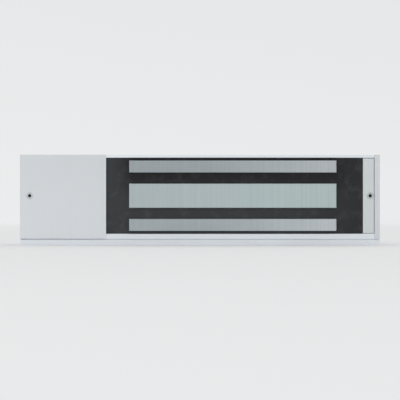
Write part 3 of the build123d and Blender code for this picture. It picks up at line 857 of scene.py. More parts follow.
class Palette:
    """The finishes of all slots, each made when it is first asked for."""

    made: ClassVar[dict[Slot, bpy.types.Material]] = {}

    @staticmethod
    def finishes() -> dict[Slot, Finish]:
        """The finish of every slot.

        Returns:
            Finishes by slot.
        """
        caps = Extent.of("tamper_caps")
        apart = (caps.size.x - caps.size.y, 0.0, 0.0)
        level = Extent.of("core").middle.z
        return {
            # The housing and the mounting plate are a little lighter than the cover: partly their own tone,
            # partly painted light that makes up for the floor's shade along the foot.
            Slot.HOUSING: Anodised(tone(234, 239, 243), 0.36),
            Slot.PLATE: Anodised(tone(233, 237, 242), 0.4),
            Slot.CAP: Blasted(tone(222, 225, 228), 0.42),
            # The cover's fade is painted shade: it is darker higher up.
            Slot.COVER: Anodised(tone(225, 229, 232), 0.38, run=Run.UPRIGHT, tone_range=0.025, fade=0.1),
            # The end plate is a little darker than the cover: partly its own tone, partly painted shade for
            # its recess between the walls.
            Slot.END_PLATE: Anodised(tone(216, 221, 222), 0.38, run=Run.UPRIGHT, tone_range=0.03),
            Slot.POLES: GroundStack(tone(186, 195, 197), 0.3, middle_level=level),
            Slot.RESIN: CastResin(tone(51, 54, 57), 0.5),
            Slot.SCREWS: PlainMetal(tone(206, 209, 211), 0.28),
            Slot.SLEEVES: PlainMetal(tone(190, 192, 190), 0.34),
            Slot.BOLTS: PlainMetal(tone(52, 53, 56), 0.4),
            Slot.TAMPER: Turned(tone(216, 219, 220), 0.24, centre=tuple(caps.middle), apart=apart),
            Slot.PARTITION: Moulded(tone(44, 45, 47), 0.5),
            Slot.BOBBIN: Moulded(tone(226, 220, 200), 0.45),
            Slot.COPPER: EnamelledWire(tone(214, 132, 86), 0.3),
            Slot.RUBBER: Moulded(tone(36, 36, 37), 0.7, grain=0.4 * MM),
            Slot.BOARD: Laminate(tone(32, 104, 58), 0.35),
            Slot.BRASS: PlainMetal(tone(214, 180, 110), 0.3),
            Slot.TERMINAL: Moulded(tone(42, 124, 74), 0.4),
            Slot.RELAY: Moulded(tone(38, 40, 46), 0.35),
            Slot.PINS: PlainMetal(tone(222, 190, 118), 0.28),
            Slot.JUMPER: Moulded(tone(30, 30, 32), 0.42),
            Slot.CAPACITOR: Moulded(tone(38, 44, 66), 0.3, coat=0.4),
            Slot.VARISTOR: Moulded(tone(46, 92, 158), 0.32, coat=0.5),
            Slot.DIODE: Moulded(tone(34, 34, 36), 0.4),
            Slot.SENSOR: Moulded(tone(58, 58, 60), 0.48),
            Slot.RED_WIRE: Moulded(tone(176, 34, 30), 0.4),
            Slot.BLACK_WIRE: Moulded(tone(32, 32, 34), 0.4),
            Slot.GREY_WIRE: Moulded(tone(150, 152, 154), 0.4),
        }

    @classmethod
    def material(cls, slot: Slot) -> bpy.types.Material:
        """Finds a slot's material, and makes it the first time.

        Args:
            slot: The slot.

        Returns:
            Its material.
        """
        if slot not in cls.made:
            cls.made[slot] = cls.finishes()[slot].make(slot.value)
        return cls.made[slot]


class Blank:
    """A mesh that is shaped by hand: a primitive to start from, then operators on what is picked by place."""

    def __init__(self, name: str) -> None:
        """Takes the primitive that was just added and opens it for editing.

        Args:
            name: Name of the piece.
        """
        self.piece = bpy.context.active_object
        self.piece.name = name
        bpy.ops.object.mode_set(mode="EDIT")

    @classmethod
    def disc(cls, name: str, radius: float, sides: int, filled: bool = True) -> "Blank":
        """Starts from a disc, or from the edge of one, at the origin.

        Args:
            name: Name of the piece.
            radius: Radius in metres.
            sides: Number of sides.
            filled: Whether the disc has a face.

        Returns:
            The blank.
        """
        bpy.ops.object.select_all(action="DESELECT")
        fill = "NGON" if filled else "NOTHING"
        bpy.ops.mesh.primitive_circle_add(vertices=sides, radius=radius, fill_type=fill)
        return cls(name)

    @classmethod
    def sheet(cls, name: str, width: float, height: float) -> "Blank":
        """Starts from a flat rectangle about the origin.

        Args:
            name: Name of the piece.
            width: Size along X in metres.
            height: Size along Y in metres.

        Returns:
            The blank.
        """
        bpy.ops.object.select_all(action="DESELECT")
        bpy.ops.mesh.primitive_plane_add(size=1.0)
        blank = cls(name)
        blank.scale(width, height)
        return blank

    def pick(self, test: Test) -> None:
        """Picks the vertices whose places pass a test, with the edges and faces between them.

        Args:
            test: The test.
        """
        bpy.ops.mesh.select_mode(type="VERT")
        bpy.ops.mesh.select_all(action="DESELECT")
        mesh = bmesh.from_edit_mesh(self.piece.data)
        for vertex in mesh.verts:
            vertex.select = test(vertex.co)
        mesh.select_flush(True)
        bmesh.update_edit_mesh(self.piece.data)

    def pick_faces(self, test: Test, more: bool = False) -> None:
        """Picks the faces whose middles pass a test.

        Args:
            test: The test.
            more: Whether the faces that are picked already stay picked.
        """
        bpy.ops.mesh.select_mode(type="FACE")
        if not more:
            bpy.ops.mesh.select_all(action="DESELECT")
        mesh = bmesh.from_edit_mesh(self.piece.data)
        for face in mesh.faces:
            face.select = face.select or test(face.calc_center_median())
        bmesh.update_edit_mesh(self.piece.data)

    def move(self, way: Place | Vector) -> None:
        """Moves what is picked."""
        bpy.ops.transform.translate(value=way)

    def scale(self, along: float, across: float) -> None:
        """Resizes what is picked about the upright axis."""
        bpy.ops.transform.resize(value=(along, across, 1.0), center_override=ORIGIN)

    def draw_out(self, way: Place | Vector) -> None:
        """Extrudes what is picked in a direction."""
        bpy.ops.mesh.extrude_region_move(TRANSFORM_OT_translate={"value": way})

    def rise(self, height: float) -> None:
        """Extrudes what is picked upwards, or downwards when the height is below 0."""
        self.draw_out((0.0, 0.0, height))

    def turn_up(self, stations: Sequence[tuple[float, float]]) -> None:
        """Extrudes a picked disc or rim through rings of given radius and height.

        Args:
            stations: Radius and height of each ring. The first is where the picked one is.
        """
        for (radius, height), (wider, higher) in zip(stations, stations[1:]):
            self.rise(higher - height)
            self.scale(wider / radius, wider / radius)

    def inset(self, width: float, rise: float = 0.0) -> None:
        """Insets the picked faces.

        Args:
            width: How far their edges move inwards.
            rise: How far the faces are lifted.
        """
        bpy.ops.mesh.inset(thickness=width, depth=0.0, use_even_offset=True)
        if rise:
            self.move((0.0, 0.0, rise))

    def cut(self, point: Place, away: Place) -> None:
        """Cuts off what lies past a point in a direction, and fills the cut."""
        bpy.ops.mesh.select_all(action="SELECT")
        bpy.ops.mesh.bisect(plane_co=point, plane_no=away, use_fill=True, clear_outer=True)

    def close(self) -> Piece:
        """Turns the faces outwards and leaves edit mode.

        Returns:
            The piece.
        """
        bpy.ops.mesh.select_mode(type="VERT")
        bpy.ops.mesh.select_all(action="SELECT")
        bpy.ops.mesh.remove_doubles(threshold=MERGE_DISTANCE)
        bpy.ops.mesh.normals_make_consistent(inside=False)
        bpy.ops.object.mode_set(mode="OBJECT")
        return self.piece


def choose(pieces: Sequence[Piece]) -> None:
    """Selects pieces and nothing else, with the first one active.

    Args:
        pieces: The pieces.
    """
    bpy.ops.object.select_all(action="DESELECT")
    for piece in pieces:
        piece.select_set(True)
    bpy.context.view_layer.objects.active = pieces[0]


def modify(piece: Piece, kind: str, **settings: object) -> None:
    """Adds a modifier to a piece and applies it.

    Args:
        piece: The piece.
        kind: Blender's name for the kind of modifier.
        settings: The modifier's settings.
    """
    choose([piece])
    bpy.ops.object.modifier_add(type=kind)
    modifier = piece.modifiers[-1]
    for name, value in settings.items():
        setattr(modifier, name, value)
    bpy.ops.object.modifier_apply(modifier=modifier.name)


def join(pieces: Sequence[Piece], name: str) -> Piece:
    """Joins pieces into one, with every place moved into its mesh.

    Args:
        pieces: The pieces.
        name: Name of the whole.

    Returns:
        The whole.
    """
    choose(pieces)
    bpy.ops.object.transform_apply(location=True, rotation=True, scale=True)
    if len(pieces) > 1:
        bpy.ops.object.join()
    pieces[0].name = name
    return pieces[0]


def settle(piece: Piece, place: Matrix) -> Piece:
    """Puts a piece where it belongs, with the place moved into its mesh."""
    piece.matrix_world = place
    return join([piece], piece.name)


def set_out(piece: Piece, name: str, places: Iterable[Matrix]) -> Piece:
    """Copies a piece to each place, every copy with its own mesh, and joins the copies.

    Args:
        piece: The piece, which is used up.
        name: Name of the whole.
        places: Where the copies go.

    Returns:
        The whole.
    """
    copies = []
    for place in places:
        copy = piece.copy()
        copy.data = piece.data.copy()
        bpy.context.scene.collection.objects.link(copy)
        copy.matrix_world = place
        copies.append(copy)
    bpy.data.objects.remove(piece)
    return join(copies, name)


def thicken(path: Blank, radius: float) -> Piece:
    """Turns a path of edges into a round strand with closed ends.

    Args:
        path: The path, still open for editing.
        radius: Radius of the strand.

    Returns:
        The strand.
    """
    name = path.close().name
    bpy.ops.object.convert(target="CURVE")
    curve = bpy.context.active_object.data
    curve.bevel_depth = radius
    curve.bevel_resolution = 2
    curve.use_fill_caps = True
    bpy.ops.object.convert(target="MESH")
    return Blank(name).close()


def strand(name: str, points: Sequence[Place], radius: float) -> Piece:
    """Runs a round strand through points.

    Args:
        name: Name of the piece.
        points: The points.
        radius: Radius of the strand.

    Returns:
        The strand.
    """
    path = Blank.sheet(name, MM, MM)
    bpy.ops.mesh.merge(type="CENTER")
    path.move(points[0])
    for start, end in zip(points, points[1:]):
        path.draw_out(Vector(end) - Vector(start))
    return thicken(path, radius)


def upright_at(x: float, y: float, z: float) -> Matrix:
    """Placement of a piece that stays upright."""
    return Matrix.Translation((x, y, z))


def front_at(x: float, y: float, z: float) -> Matrix:
    """Placement of a piece whose upright axis then points out of the front."""
    return upright_at(x, y, z) @ Matrix.Rotation(pi / 2, 4, "X")


def back_at(x: float, y: float, z: float) -> Matrix:
    """Placement of a piece whose upright axis then points to the back."""
    return upright_at(x, y, z) @ Matrix.Rotation(-pi / 2, 4, "X")


def upside_down_at(x: float, y: float, z: float) -> Matrix:
    """Placement of a piece whose upright axis then points down."""
    return upright_at(x, y, z) @ Matrix.Rotation(pi, 4, "X")


def end_at(x: float, y: float, z: float, side: int) -> Matrix:
    """Placement of a piece whose upright axis then points out of the right end, or of the left for -1."""
    return upright_at(x, y, z) @ Matrix.Rotation(side * pi / 2, 4, "Y")


@dataclass
class Screw:
    """A screw with a hexagon socket, rolled thread and flat end, its face at the origin and its point down.

    Attributes:
        under_head: Height of a cylinder head. A countersunk one follows from its radius.
        plain_length: Length of the shank without thread.
        edge: Width of the broken edges.
        drill_share: Depth of the drill's cone below the socket, as a share of the socket's radius.
        drill_tip: Width of the cone's end, as a share of its mouth.
        thread_share: Depth of the thread, as a share of its pitch.
        thread_lap: How far the thread reaches into the neck, as a share of its pitch.
        spare_turns: Turns that are wound and cut off again at the two ends.
    """

    radius: float
    pitch: float
    length: float
    head_radius: float
    socket_width: float
    socket_depth: float
    form: HeadForm = HeadForm.COUNTERSUNK
    under_head: float = 0.0
    plain_length: float = 0.0
    edge: float = 0.12 * MM
    sides: int = 48
    drill_share: float = 0.08
    drill_tip: float = 0.1
    thread_share: float = 0.6
    thread_lap: float = 0.04
    spare_turns: int = 3
    slot: Slot = Slot.SCREWS

    @property
    def under(self) -> float:
        """Depth of the head's underside, or of its cone's end."""
        return self.head_radius - self.radius if self.form is HeadForm.COUNTERSUNK else self.under_head

    @property
    def neck_level(self) -> float:
        """Level where the thread takes over from the head."""
        return -self.under - self.plain_length - self.pitch / 2

    @property
    def hexagon(self) -> float:
        """Radius of the socket over its corners."""
        return self.socket_width / 2 / cos(pi / HEXAGON)

    @property
    def drill_depth(self) -> float:
        """Depth of the drill's cone below the socket."""
        return self.hexagon * self.drill_share

    def stations(self) -> list[tuple[float, float]]:
        """Outline of the head and of the shank down to the thread.

        Returns:
            Radius and height of each ring, from the face's rim.
        """
        rim = self.head_radius - self.edge
        rings = [(rim, 0.0), (self.head_radius, -self.edge)]
        if self.form is HeadForm.CYLINDER:
            rings += [(self.head_radius, self.edge - self.under), (rim, -self.under)]
        rings.append((self.radius, -self.under))
        if self.plain_length:
            rings.append((self.radius, -self.under - self.plain_length))
        return rings + [(self.radius - self.pitch / 2, self.neck_level)]

    def head(self) -> Piece:
        """Shapes the head: its face round the socket, its side, and the shank's first stretch.

        Returns:
            The head.
        """
        rim = self.head_radius - self.edge
        chamfered = self.hexagon + self.edge
        blank = Blank.disc("screw_head", chamfered, HEXAGON, filled=False)
        bpy.ops.mesh.subdivide(number_cuts=self.sides // HEXAGON - 1)
        bpy.ops.mesh.primitive_circle_add(vertices=self.sides, radius=rim)
        bpy.ops.mesh.select_all(action="SELECT")
        bpy.ops.mesh.bridge_edge_loops()
        blank.pick(lambda place: place.xy.length > rim * NEARLY)
        blank.turn_up(self.stations())
        bpy.ops.mesh.edge_face_add()
        blank.pick(lambda place: place.z > -self.edge / 2 and place.xy.length < (rim + chamfered) / 2)
        blank.turn_up([
            (chamfered, 0.0), (self.hexagon, -self.edge), (self.hexagon, -self.socket_depth),
            (self.hexagon * self.drill_tip, -self.socket_depth - self.drill_depth),
        ])
        bpy.ops.mesh.edge_face_add()
        return blank.close()

    def thread(self, top: float) -> Piece:
        """Winds the thread from a level down to the screw's end.

        Args:
            top: Level where the thread starts.

        Returns:
            The threaded rod.
        """
        depth = self.thread_share * self.pitch
        half = self.pitch / 2
        blank = Blank.disc("screw_thread", half, RECTANGLE, filled=False)
        blank.pick(lambda place: place.x < -half / 2)
        bpy.ops.mesh.delete(type="VERT")
        bpy.ops.mesh.select_all(action="SELECT")
        blank.scale(depth / half, 1.0)
        bpy.ops.transform.rotate(value=pi / 2, orient_axis="X", center_override=ORIGIN)
        blank.move((self.radius - depth, 0.0, -self.length - self.pitch))
        bpy.ops.object.mode_set(mode="OBJECT")
        modify(
            blank.piece, "SCREW", axis="Z", screw_offset=self.pitch, use_merge_vertices=True,
            iterations=int((self.length + top) / self.pitch) + self.spare_turns,
            steps=self.sides // 2, render_steps=self.sides // 2,
        )
        bpy.ops.object.mode_set(mode="EDIT")
        blank.cut((0.0, 0.0, top), (0.0, 0.0, 1.0))
        blank.cut((0.0, 0.0, -self.length), (0.0, 0.0, -1.0))
        return blank.close()

    def make(self, name: str) -> Piece:
        """Makes the screw, with painted shade in its socket: black steel on the socket's inside faces.

        Args:
            name: Name of the piece.

        Returns:
            The screw, upright at the origin.
        """
        head = self.head()
        thread = self.thread(self.neck_level + self.pitch * self.thread_lap)
        for part in (head, thread):
            part.data.materials.append(Palette.material(self.slot))
        # Painted shade: the socket's inside faces take the bolts' black steel, for the shade in the recess.
        head.data.materials.append(Palette.material(Slot.BOLTS))
        bottom = -self.socket_depth - self.drill_depth
        for face in head.data.polygons:
            inside = face.center.xy.length < self.hexagon and bottom / NEARLY < face.center.z < -self.edge
            face.material_index = int(inside)
        return join([head, thread], name)


class Assembly:
    """A group of pieces that are built and dressed together."""

    nodes: ClassVar[tuple[str, ...]] = ()

    def dress(self) -> None:
        """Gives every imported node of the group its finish."""
        slots = {part["node"]: part["material_slot"] for part in frame["record"]["subparts"]}
        for name in self.nodes:
            mesh = frame["nodes"][name].data
            mesh.materials.clear()
            mesh.materials.append(Palette.material(Slot(slots[name])))
            log.info("%s: %s, %s", type(self).__name__, name, slots[name])

    def build(self) -> None:
        """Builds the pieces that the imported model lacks."""
        raise NotImplementedError

    def fit(
        self, piece: Piece, slot: Slot, replaced: Sequence[str] = (), smooth: float = SMOOTH_ANGLE
    ) -> None:
        """Fixes a finished piece to the lock and gives it its finish.

        Args:
            piece: The piece.
            slot: Its material slot.
            replaced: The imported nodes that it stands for.
            smooth: Angle in degrees under which edges are shaded smooth.
        """
        choose([piece])
        bpy.ops.object.shade_smooth_by_angle(angle=radians(smooth))
        if not piece.data.materials:
            piece.data.materials.append(Palette.material(slot))
        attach(piece, BODY)
        if replaced:
            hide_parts(*replaced)
        faces = len(piece.data.polygons)
        log.info("%s: %s, %d faces, %s", type(self).__name__, piece.name, faces, slot.value)


@dataclass
class Channel(Assembly):
    """The extruded channel with its mounting plate, end caps, end cap screws, pins and grommet."""

    nodes: ClassVar[tuple[str, ...]] = (
        "housing", "mounting_plate", "end_cap_left", "end_cap_right", "end_cap_screws",
        "locating_pins", "wire_grommet",
    )
    screw: Screw = field(default_factory=lambda: Screw(
        radius=1.5 * MM, pitch=0.5 * MM, length=14 * MM, head_radius=2.8 * MM,
        socket_width=2.2 * MM, socket_depth=1.3 * MM,
    ))

    def build(self) -> None:
        """Sets a real screw in each of the four holes of the end caps."""
        room = Extent.of("end_cap_screws")
        levels = (room.low.z + self.screw.head_radius, room.high.z - self.screw.head_radius)
        ends = ((room.low.x, -1), (room.high.x, 1))
        places = [end_at(x, room.middle.y, z, side) for x, side in ends for z in levels]
        screws = set_out(self.screw.make("end_cap_screw"), "end_cap_screws_threaded", places)
        self.fit(screws, Slot.SCREWS, ["end_cap_screws"])


@dataclass
class FrontTrim(Assembly):
    """What closes the front beside the magnet: wiring cover, end plate, their screws and the partition."""

    nodes: ClassVar[tuple[str, ...]] = ("wiring_cover", "end_plate", "cover_screws", "partition")
    screw: Screw = field(default_factory=lambda: Screw(
        radius=1.4 * MM, pitch=0.5 * MM, length=9 * MM, head_radius=2.6 * MM,
        socket_width=2.2 * MM, socket_depth=1.3 * MM,
    ))

    def build(self) -> None:
        """Sets the two screws that show on the front."""
        room = Extent.of("cover_screws")
        left, right = room.low.x + self.screw.head_radius, room.high.x - self.screw.head_radius
        places = [
            front_at(left, Extent.of("wiring_cover").low.y, room.middle.z),
            front_at(right, Extent.of("end_plate").low.y, room.middle.z),
        ]
        screws = set_out(self.screw.make("cover_screw"), "cover_screws_threaded", places)
        self.fit(screws, Slot.SCREWS, ["cover_screws"])


@dataclass
class Magnet(Assembly):
    """The potted magnet: core, bobbin, winding, resin and the sensor beside them.

    Attributes:
        climb: How far the resin climbs and spreads at a pole strip.
        wall_climb: How far it climbs and spreads at a wall.
        sunk: How far the added resin reaches into the potting.
        steps: Steps of the resin's hollow curve.
        outer_leg: Height of an outer pole strip.
        slot_width: Height of the gap between two strips.
        overrun: Length by which the resin's edge starts too long at the end plate, before it is cut.
        wire_sunk: How far the outermost turns lie inside the winding.
    """

    nodes: ClassVar[tuple[str, ...]] = ("core", "bobbin", "winding", "potting", "bond_sensor")
    climb: float = 0.55 * MM
    wall_climb: float = 0.4 * MM
    sunk: float = 0.1 * MM
    steps: int = 5
    resin_smooth: float = 40.0
    outer_leg: float = 9.0 * MM
    slot_width: float = 8.1 * MM
    overrun: float = 2.0 * MM
    wire_radius: float = 0.3 * MM
    wire_sunk: float = 0.1 * MM
    wire_corner: float = 5.4 * MM
    wire_corner_steps: int = 6

    def curve(self, reach: float) -> list[tuple[float, float]]:
        """Steps of the hollow curve that set resin makes against a wall.

        Args:
            reach: How far the curve climbs and spreads.

        Returns:
            Width and rise of each step, from the resin to the wall.
        """
        angles = [pi / 2 * step / self.steps for step in range(self.steps + 1)]
        points = [(reach * sin(angle), reach * (1 - cos(angle))) for angle in angles]
        return [(b[0] - a[0], b[1] - a[1]) for a, b in zip(points, points[1:])]

    def open_ring(self, blank: Blank, top: Test, width: float) -> None:
        """Cuts the middle out of a slab, from an upper face to its underside.

        Args:
            blank: The slab.
            top: Test that only the upper inner face passes.
            width: Width of the ring that is left.
        """
        blank.pick_faces(lambda place: place.z < -self.sunk * NEARLY)
        bpy.ops.mesh.inset(thickness=width, depth=0.0)
        blank.pick_faces(top, more=True)
        bpy.ops.mesh.bridge_edge_loops()

    def round_pole(self, name: str, width: float, height: float) -> Piece:
        """Shapes the resin that climbs round one pole strip.

        Args:
            name: Name of the piece.
            width: Length of the strip.
            height: Height of the strip.

        Returns:
            The ring, facing up, with the resin's surface at the origin.
        """
        blank = Blank.sheet(name, width + 2 * self.climb, height + 2 * self.climb)
        blank.move((0.0, 0.0, -self.sunk))
        blank.rise(self.sunk)
        for step, rise in self.curve(self.climb):
            blank.inset(step, rise)
        self.open_ring(blank, lambda place: place.z > self.climb * NEARLY, self.climb)
        return blank.close()

    def along_walls(self, name: str, width: float, height: float) -> Piece:
        """Shapes the resin that climbs the two long walls and the partition.

        Args:
            name: Name of the piece.
            width: Length of the resin's surface.
            height: Height of the resin's surface.

        Returns:
            The edge, facing up, with the resin's surface at the origin.
        """
        blank = Blank.sheet(name, width + self.overrun, height)
        blank.move((self.overrun / 2, 0.0, -self.sunk))
        blank.rise(self.sunk + self.wall_climb)
        for step, rise in reversed(self.curve(self.wall_climb)):
            blank.inset(step, -rise)
        self.open_ring(
            blank,
            lambda place: abs(place.z) < self.sunk / 2 and abs(place.y) < height / 4,
            self.wall_climb,
        )
        blank.cut((width / 2, 0.0, 0.0), (1.0, 0.0, 0.0))
        return blank.close()

    def winding_turns(self) -> Piece:
        """Lays the outermost turns of the coil side by side over the winding.

        Returns:
            The turns.
        """
        coil = Extent.of("winding")
        trim = 2 * self.wire_sunk
        blank = Blank.sheet("winding_turns", coil.size.x - trim, coil.size.z - trim)
        bpy.ops.mesh.bevel(offset=self.wire_corner, segments=self.wire_corner_steps, affect="VERTICES")
        bpy.ops.mesh.delete(type="ONLY_FACE")
        turn = thicken(blank, self.wire_radius)
        count = int(coil.size.y / (2 * self.wire_radius))
        pitch = coil.size.y / count
        modify(
            turn, "ARRAY", count=count, use_relative_offset=False, use_constant_offset=True,
            constant_offset_displace=(0.0, 0.0, pitch),
        )
        return settle(turn, front_at(coil.middle.x, coil.high.y - pitch / 2, coil.middle.z))

    def build(self) -> None:
        """Adds the resin's edges round the pole strips and along the walls, and the winding's turns."""
        core = Extent.of("core")
        resin = Extent.of("potting")
        centre_leg = core.size.z - 2 * (self.outer_leg + self.slot_width)
        strips = (
            (self.outer_leg, core.low.z + self.outer_leg / 2),
            (centre_leg, core.middle.z),
            (self.outer_leg, core.high.z - self.outer_leg / 2),
        )
        rings = []
        for height, level in strips:
            ring = self.round_pole("pole_edge", core.size.x, height)
            ring.matrix_world = front_at(core.middle.x, resin.low.y, level)
            rings.append(ring)
        self.fit(join(rings, "resin_round_poles"), Slot.RESIN, smooth=self.resin_smooth)
        walls = self.along_walls("resin_along_walls", resin.size.x, resin.size.z)
        settle(walls, front_at(resin.middle.x, resin.low.y, core.middle.z))
        self.fit(walls, Slot.RESIN, smooth=self.resin_smooth)
        self.fit(self.winding_turns(), Slot.COPPER)


@dataclass
class Fixings(Assembly):
    """The two mounting bolts in their sleeves, with washers and tamper caps.

    Attributes:
        cap_break: Width of a cap's broken edges.
        cap_land: Width of the flat ring round a cap's dish.
        dish_flank: Width over which the dish falls to its full depth.
        dish_rise: Rings towards the dish's middle: share of the cap's radius, and of the dish's depth.
    """

    nodes: ClassVar[tuple[str, ...]] = ("bolt_sleeves", "bolt_washers", "mounting_bolts", "tamper_caps")
    cap_sides: int = 72
    cap_break: float = 0.5 * MM
    cap_land: float = 0.6 * MM
    dish: float = 0.12 * MM
    dish_flank: float = 0.2 * MM
    dish_rise: tuple[tuple[float, float], ...] = ((1 / 3, 0.6), (1 / 40, 0.5))
    bolt: Screw = field(default_factory=lambda: Screw(
        radius=3.0 * MM, pitch=1.0 * MM, length=Extent.of("mounting_bolts").size.z, head_radius=5.0 * MM,
        socket_width=5.0 * MM, socket_depth=3.0 * MM, form=HeadForm.CYLINDER,
        under_head=6.0 * MM, plain_length=30 * MM, edge=0.7 * MM, slot=Slot.BOLTS,
    ))

    def cap(self, radius: float, height: float) -> Piece:
        """Turns a tamper cap with a dished face.

        Args:
            radius: Its radius.
            height: Its height.

        Returns:
            The cap, upright, with its underside at the origin.
        """
        foot = radius - self.cap_break / 2
        land = radius - self.cap_break - self.cap_land
        blank = Blank.disc("tamper_cap", foot, self.cap_sides)
        blank.turn_up([
            (foot, 0.0), (radius, self.cap_break / 2), (radius, height - self.cap_break),
            (radius - self.cap_break, height), (land, height), (land - self.dish_flank, height - self.dish),
            *((radius * share, height - self.dish * depth) for share, depth in self.dish_rise),
        ])
        return blank.close()

    def build(self) -> None:
        """Makes the tamper caps and the bolts under them."""
        caps = Extent.of("tamper_caps")
        radius = caps.size.y / 2
        xs = (caps.low.x + radius, caps.high.x - radius)
        seats = [upright_at(x, caps.middle.y, caps.low.z) for x in xs]
        turned = set_out(self.cap(radius, caps.size.z), "tamper_caps_turned", seats)
        self.fit(turned, Slot.TAMPER, ["tamper_caps"])
        heads = [upright_at(x, caps.middle.y, Extent.of("mounting_bolts").high.z) for x in xs]
        bolts = set_out(self.bolt.make("bolt"), "mounting_bolts_threaded", heads)
        self.fit(bolts, Slot.BOLTS, ["mounting_bolts"])


@dataclass
class Board(Assembly):
    """The circuit board with all that stands on it, and the wires that come to it.

    Attributes:
        ways: Number of the terminal block's ways.
        clamp_recess: How deep a clamp lies in the terminal block's mouth.
        mouth_off_board: Distance of the mouths' middle from the board's front.
        relay_inset: How far the relay's legs stand inside its case.
        joint_rings: Rings of a solder joint: shares of its radius and of its height.
        track_height: Height of a track, which is drawn as a round strand and pressed flat.
        chip_off_header: Where the amplifier chip is, from the middle of the voltage header.
        chip_taper: Size of the chip's face, as shares of its foot's.
        chip_leg_reach: How far the chip's legs stand out.
        resistor_drop: Distance of the resistors from the board's top edge.
        boxes: The box round each node.
        front: Where the board's front is.
        back: Where its back is.
    """

    nodes: ClassVar[tuple[str, ...]] = (
        "circuit_board", "board_standoffs", "board_screws", "terminal_block", "terminal_screws",
        "relay", "voltage_header", "voltage_jumpers", "capacitor", "varistor", "diode",
        "sensor_lead", "coil_lead_red", "coil_lead_black",
    )
    ways: int = 5
    way_spacing: float = 5.0 * MM
    clamp_width: float = 2.0 * MM
    clamp_length: float = 3.6 * MM
    clamp_wall: float = 0.3 * MM
    clamp_recess: float = 0.7 * MM
    mouth_off_board: float = 3.0 * MM
    header_ways: int = 3
    pin_spacing: float = 2.54 * MM
    relay_inset: float = 1.8 * MM
    capacitor_leg: float = 1.75 * MM
    varistor_leg: float = 2.5 * MM
    diode_leg: float = 4.65 * MM
    joint_radius: float = 0.95 * MM
    joint_height: float = 0.55 * MM
    joint_sides: int = 16
    joint_rings: tuple[tuple[float, float], ...] = (
        (1.0, 0.0), (0.72, 0.25), (0.52, 0.6), (0.4, 0.92), (0.2, 1.0)
    )
    track_radius: float = 0.65 * MM
    track_height: float = 0.07 * MM
    track_smooth: float = 50.0
    chip_size: Place = (5.0 * MM, 3.9 * MM, 1.5 * MM)
    chip_off_header: Place = (6.8 * MM, 0.0, -23.9 * MM)
    chip_taper: tuple[float, float] = (0.94, 0.92)
    chip_legs: int = 4
    chip_leg_spacing: float = 1.27 * MM
    chip_leg_radius: float = 0.2 * MM
    chip_leg_reach: float = 1.0 * MM
    resistor_size: Place = (2.0 * MM, 1.25 * MM, 0.5 * MM)
    resistor_end: float = 0.4 * MM
    resistor_edge: float = 0.04 * MM
    resistor_count: int = 5
    resistor_spacing: float = 4.0 * MM
    resistor_drop: float = 4.3 * MM
    boxes: dict[str, Extent] = field(init=False)
    front: float = field(init=False)
    back: float = field(init=False)

    def __post_init__(self) -> None:
        """Reads where the board and its parts are."""
        self.boxes = {name: Extent.of(name) for name in self.nodes}
        self.front = self.boxes["circuit_board"].low.y
        self.back = self.boxes["circuit_board"].high.y

    def across(self, name: str, reach: float, count: int = 2) -> list[tuple[float, float]]:
        """Places in a row across the middle of a part.

        Args:
            name: The part's node.
            reach: Distance from the middle to the outermost place.
            count: Number of places.

        Returns:
            X and Z of each place.
        """
        middle = self.boxes[name].middle
        step = 2 * reach / (count - 1)
        return [(middle.x - reach + step * index, middle.z) for index in range(count)]

    def terminals(self) -> list[tuple[float, float]]:
        """X and Z of each way of the terminal block."""
        return self.across("terminal_block", self.way_spacing * (self.ways - 1) / 2, self.ways)

    def feet(self) -> list[tuple[float, float]]:
        """Where the legs of all parts come through the board.

        Returns:
            X and Z of each leg.
        """
        relay = self.boxes["relay"].middle
        reach_x, _, reach_z = [length / 2 - self.relay_inset for length in self.boxes["relay"].size]
        legs = [(relay.x + a * reach_x, relay.z + b * reach_z) for a in (-1, 1) for b in (-1, 1)]
        for x, z in self.across("voltage_header", self.pin_spacing, self.header_ways):
            legs += [(x, z - self.pin_spacing / 2), (x, z + self.pin_spacing / 2)]
        legs += self.terminals()
        legs += self.across("capacitor", self.capacitor_leg)
        legs += self.across("varistor", self.varistor_leg)
        legs += self.across("diode", self.diode_leg)
        for name in ("coil_lead_red", "coil_lead_black", "sensor_lead"):
            lead = self.boxes[name]
            legs.append((lead.low.x + lead.size.z / 2, lead.middle.z))
        return legs

    def solder(self) -> Piece:
        """Shapes a solder joint with hollow flanks, and sets one on every leg behind the board.

        Returns:
            The joints.
        """
        blank = Blank.disc("solder_joint", self.joint_radius, self.joint_sides)
        blank.turn_up([(self.joint_radius * r, self.joint_height * h) for r, h in self.joint_rings])
        places = [back_at(x, self.back, z) for x, z in self.feet()]
        return set_out(blank.close(), "solder_joints", places)

    def clamps(self) -> Piece:
        """Shapes the clamp that grips a wire, and sets one in every mouth of the terminal block.

        Returns:
            The clamps.
        """
        blank = Blank.sheet("clamp", self.clamp_width, self.clamp_width)
        blank.rise(self.clamp_length)
        blank.inset(self.clamp_wall)
        blank.rise(self.clamp_wall - self.clamp_length)
        y = self.front - self.mouth_off_board
        z = self.boxes["terminal_block"].low.z + self.clamp_recess + self.clamp_length
        places = [upside_down_at(x, y, z) for x, _ in self.terminals()]
        return set_out(blank.close(), "terminal_clamps", places)

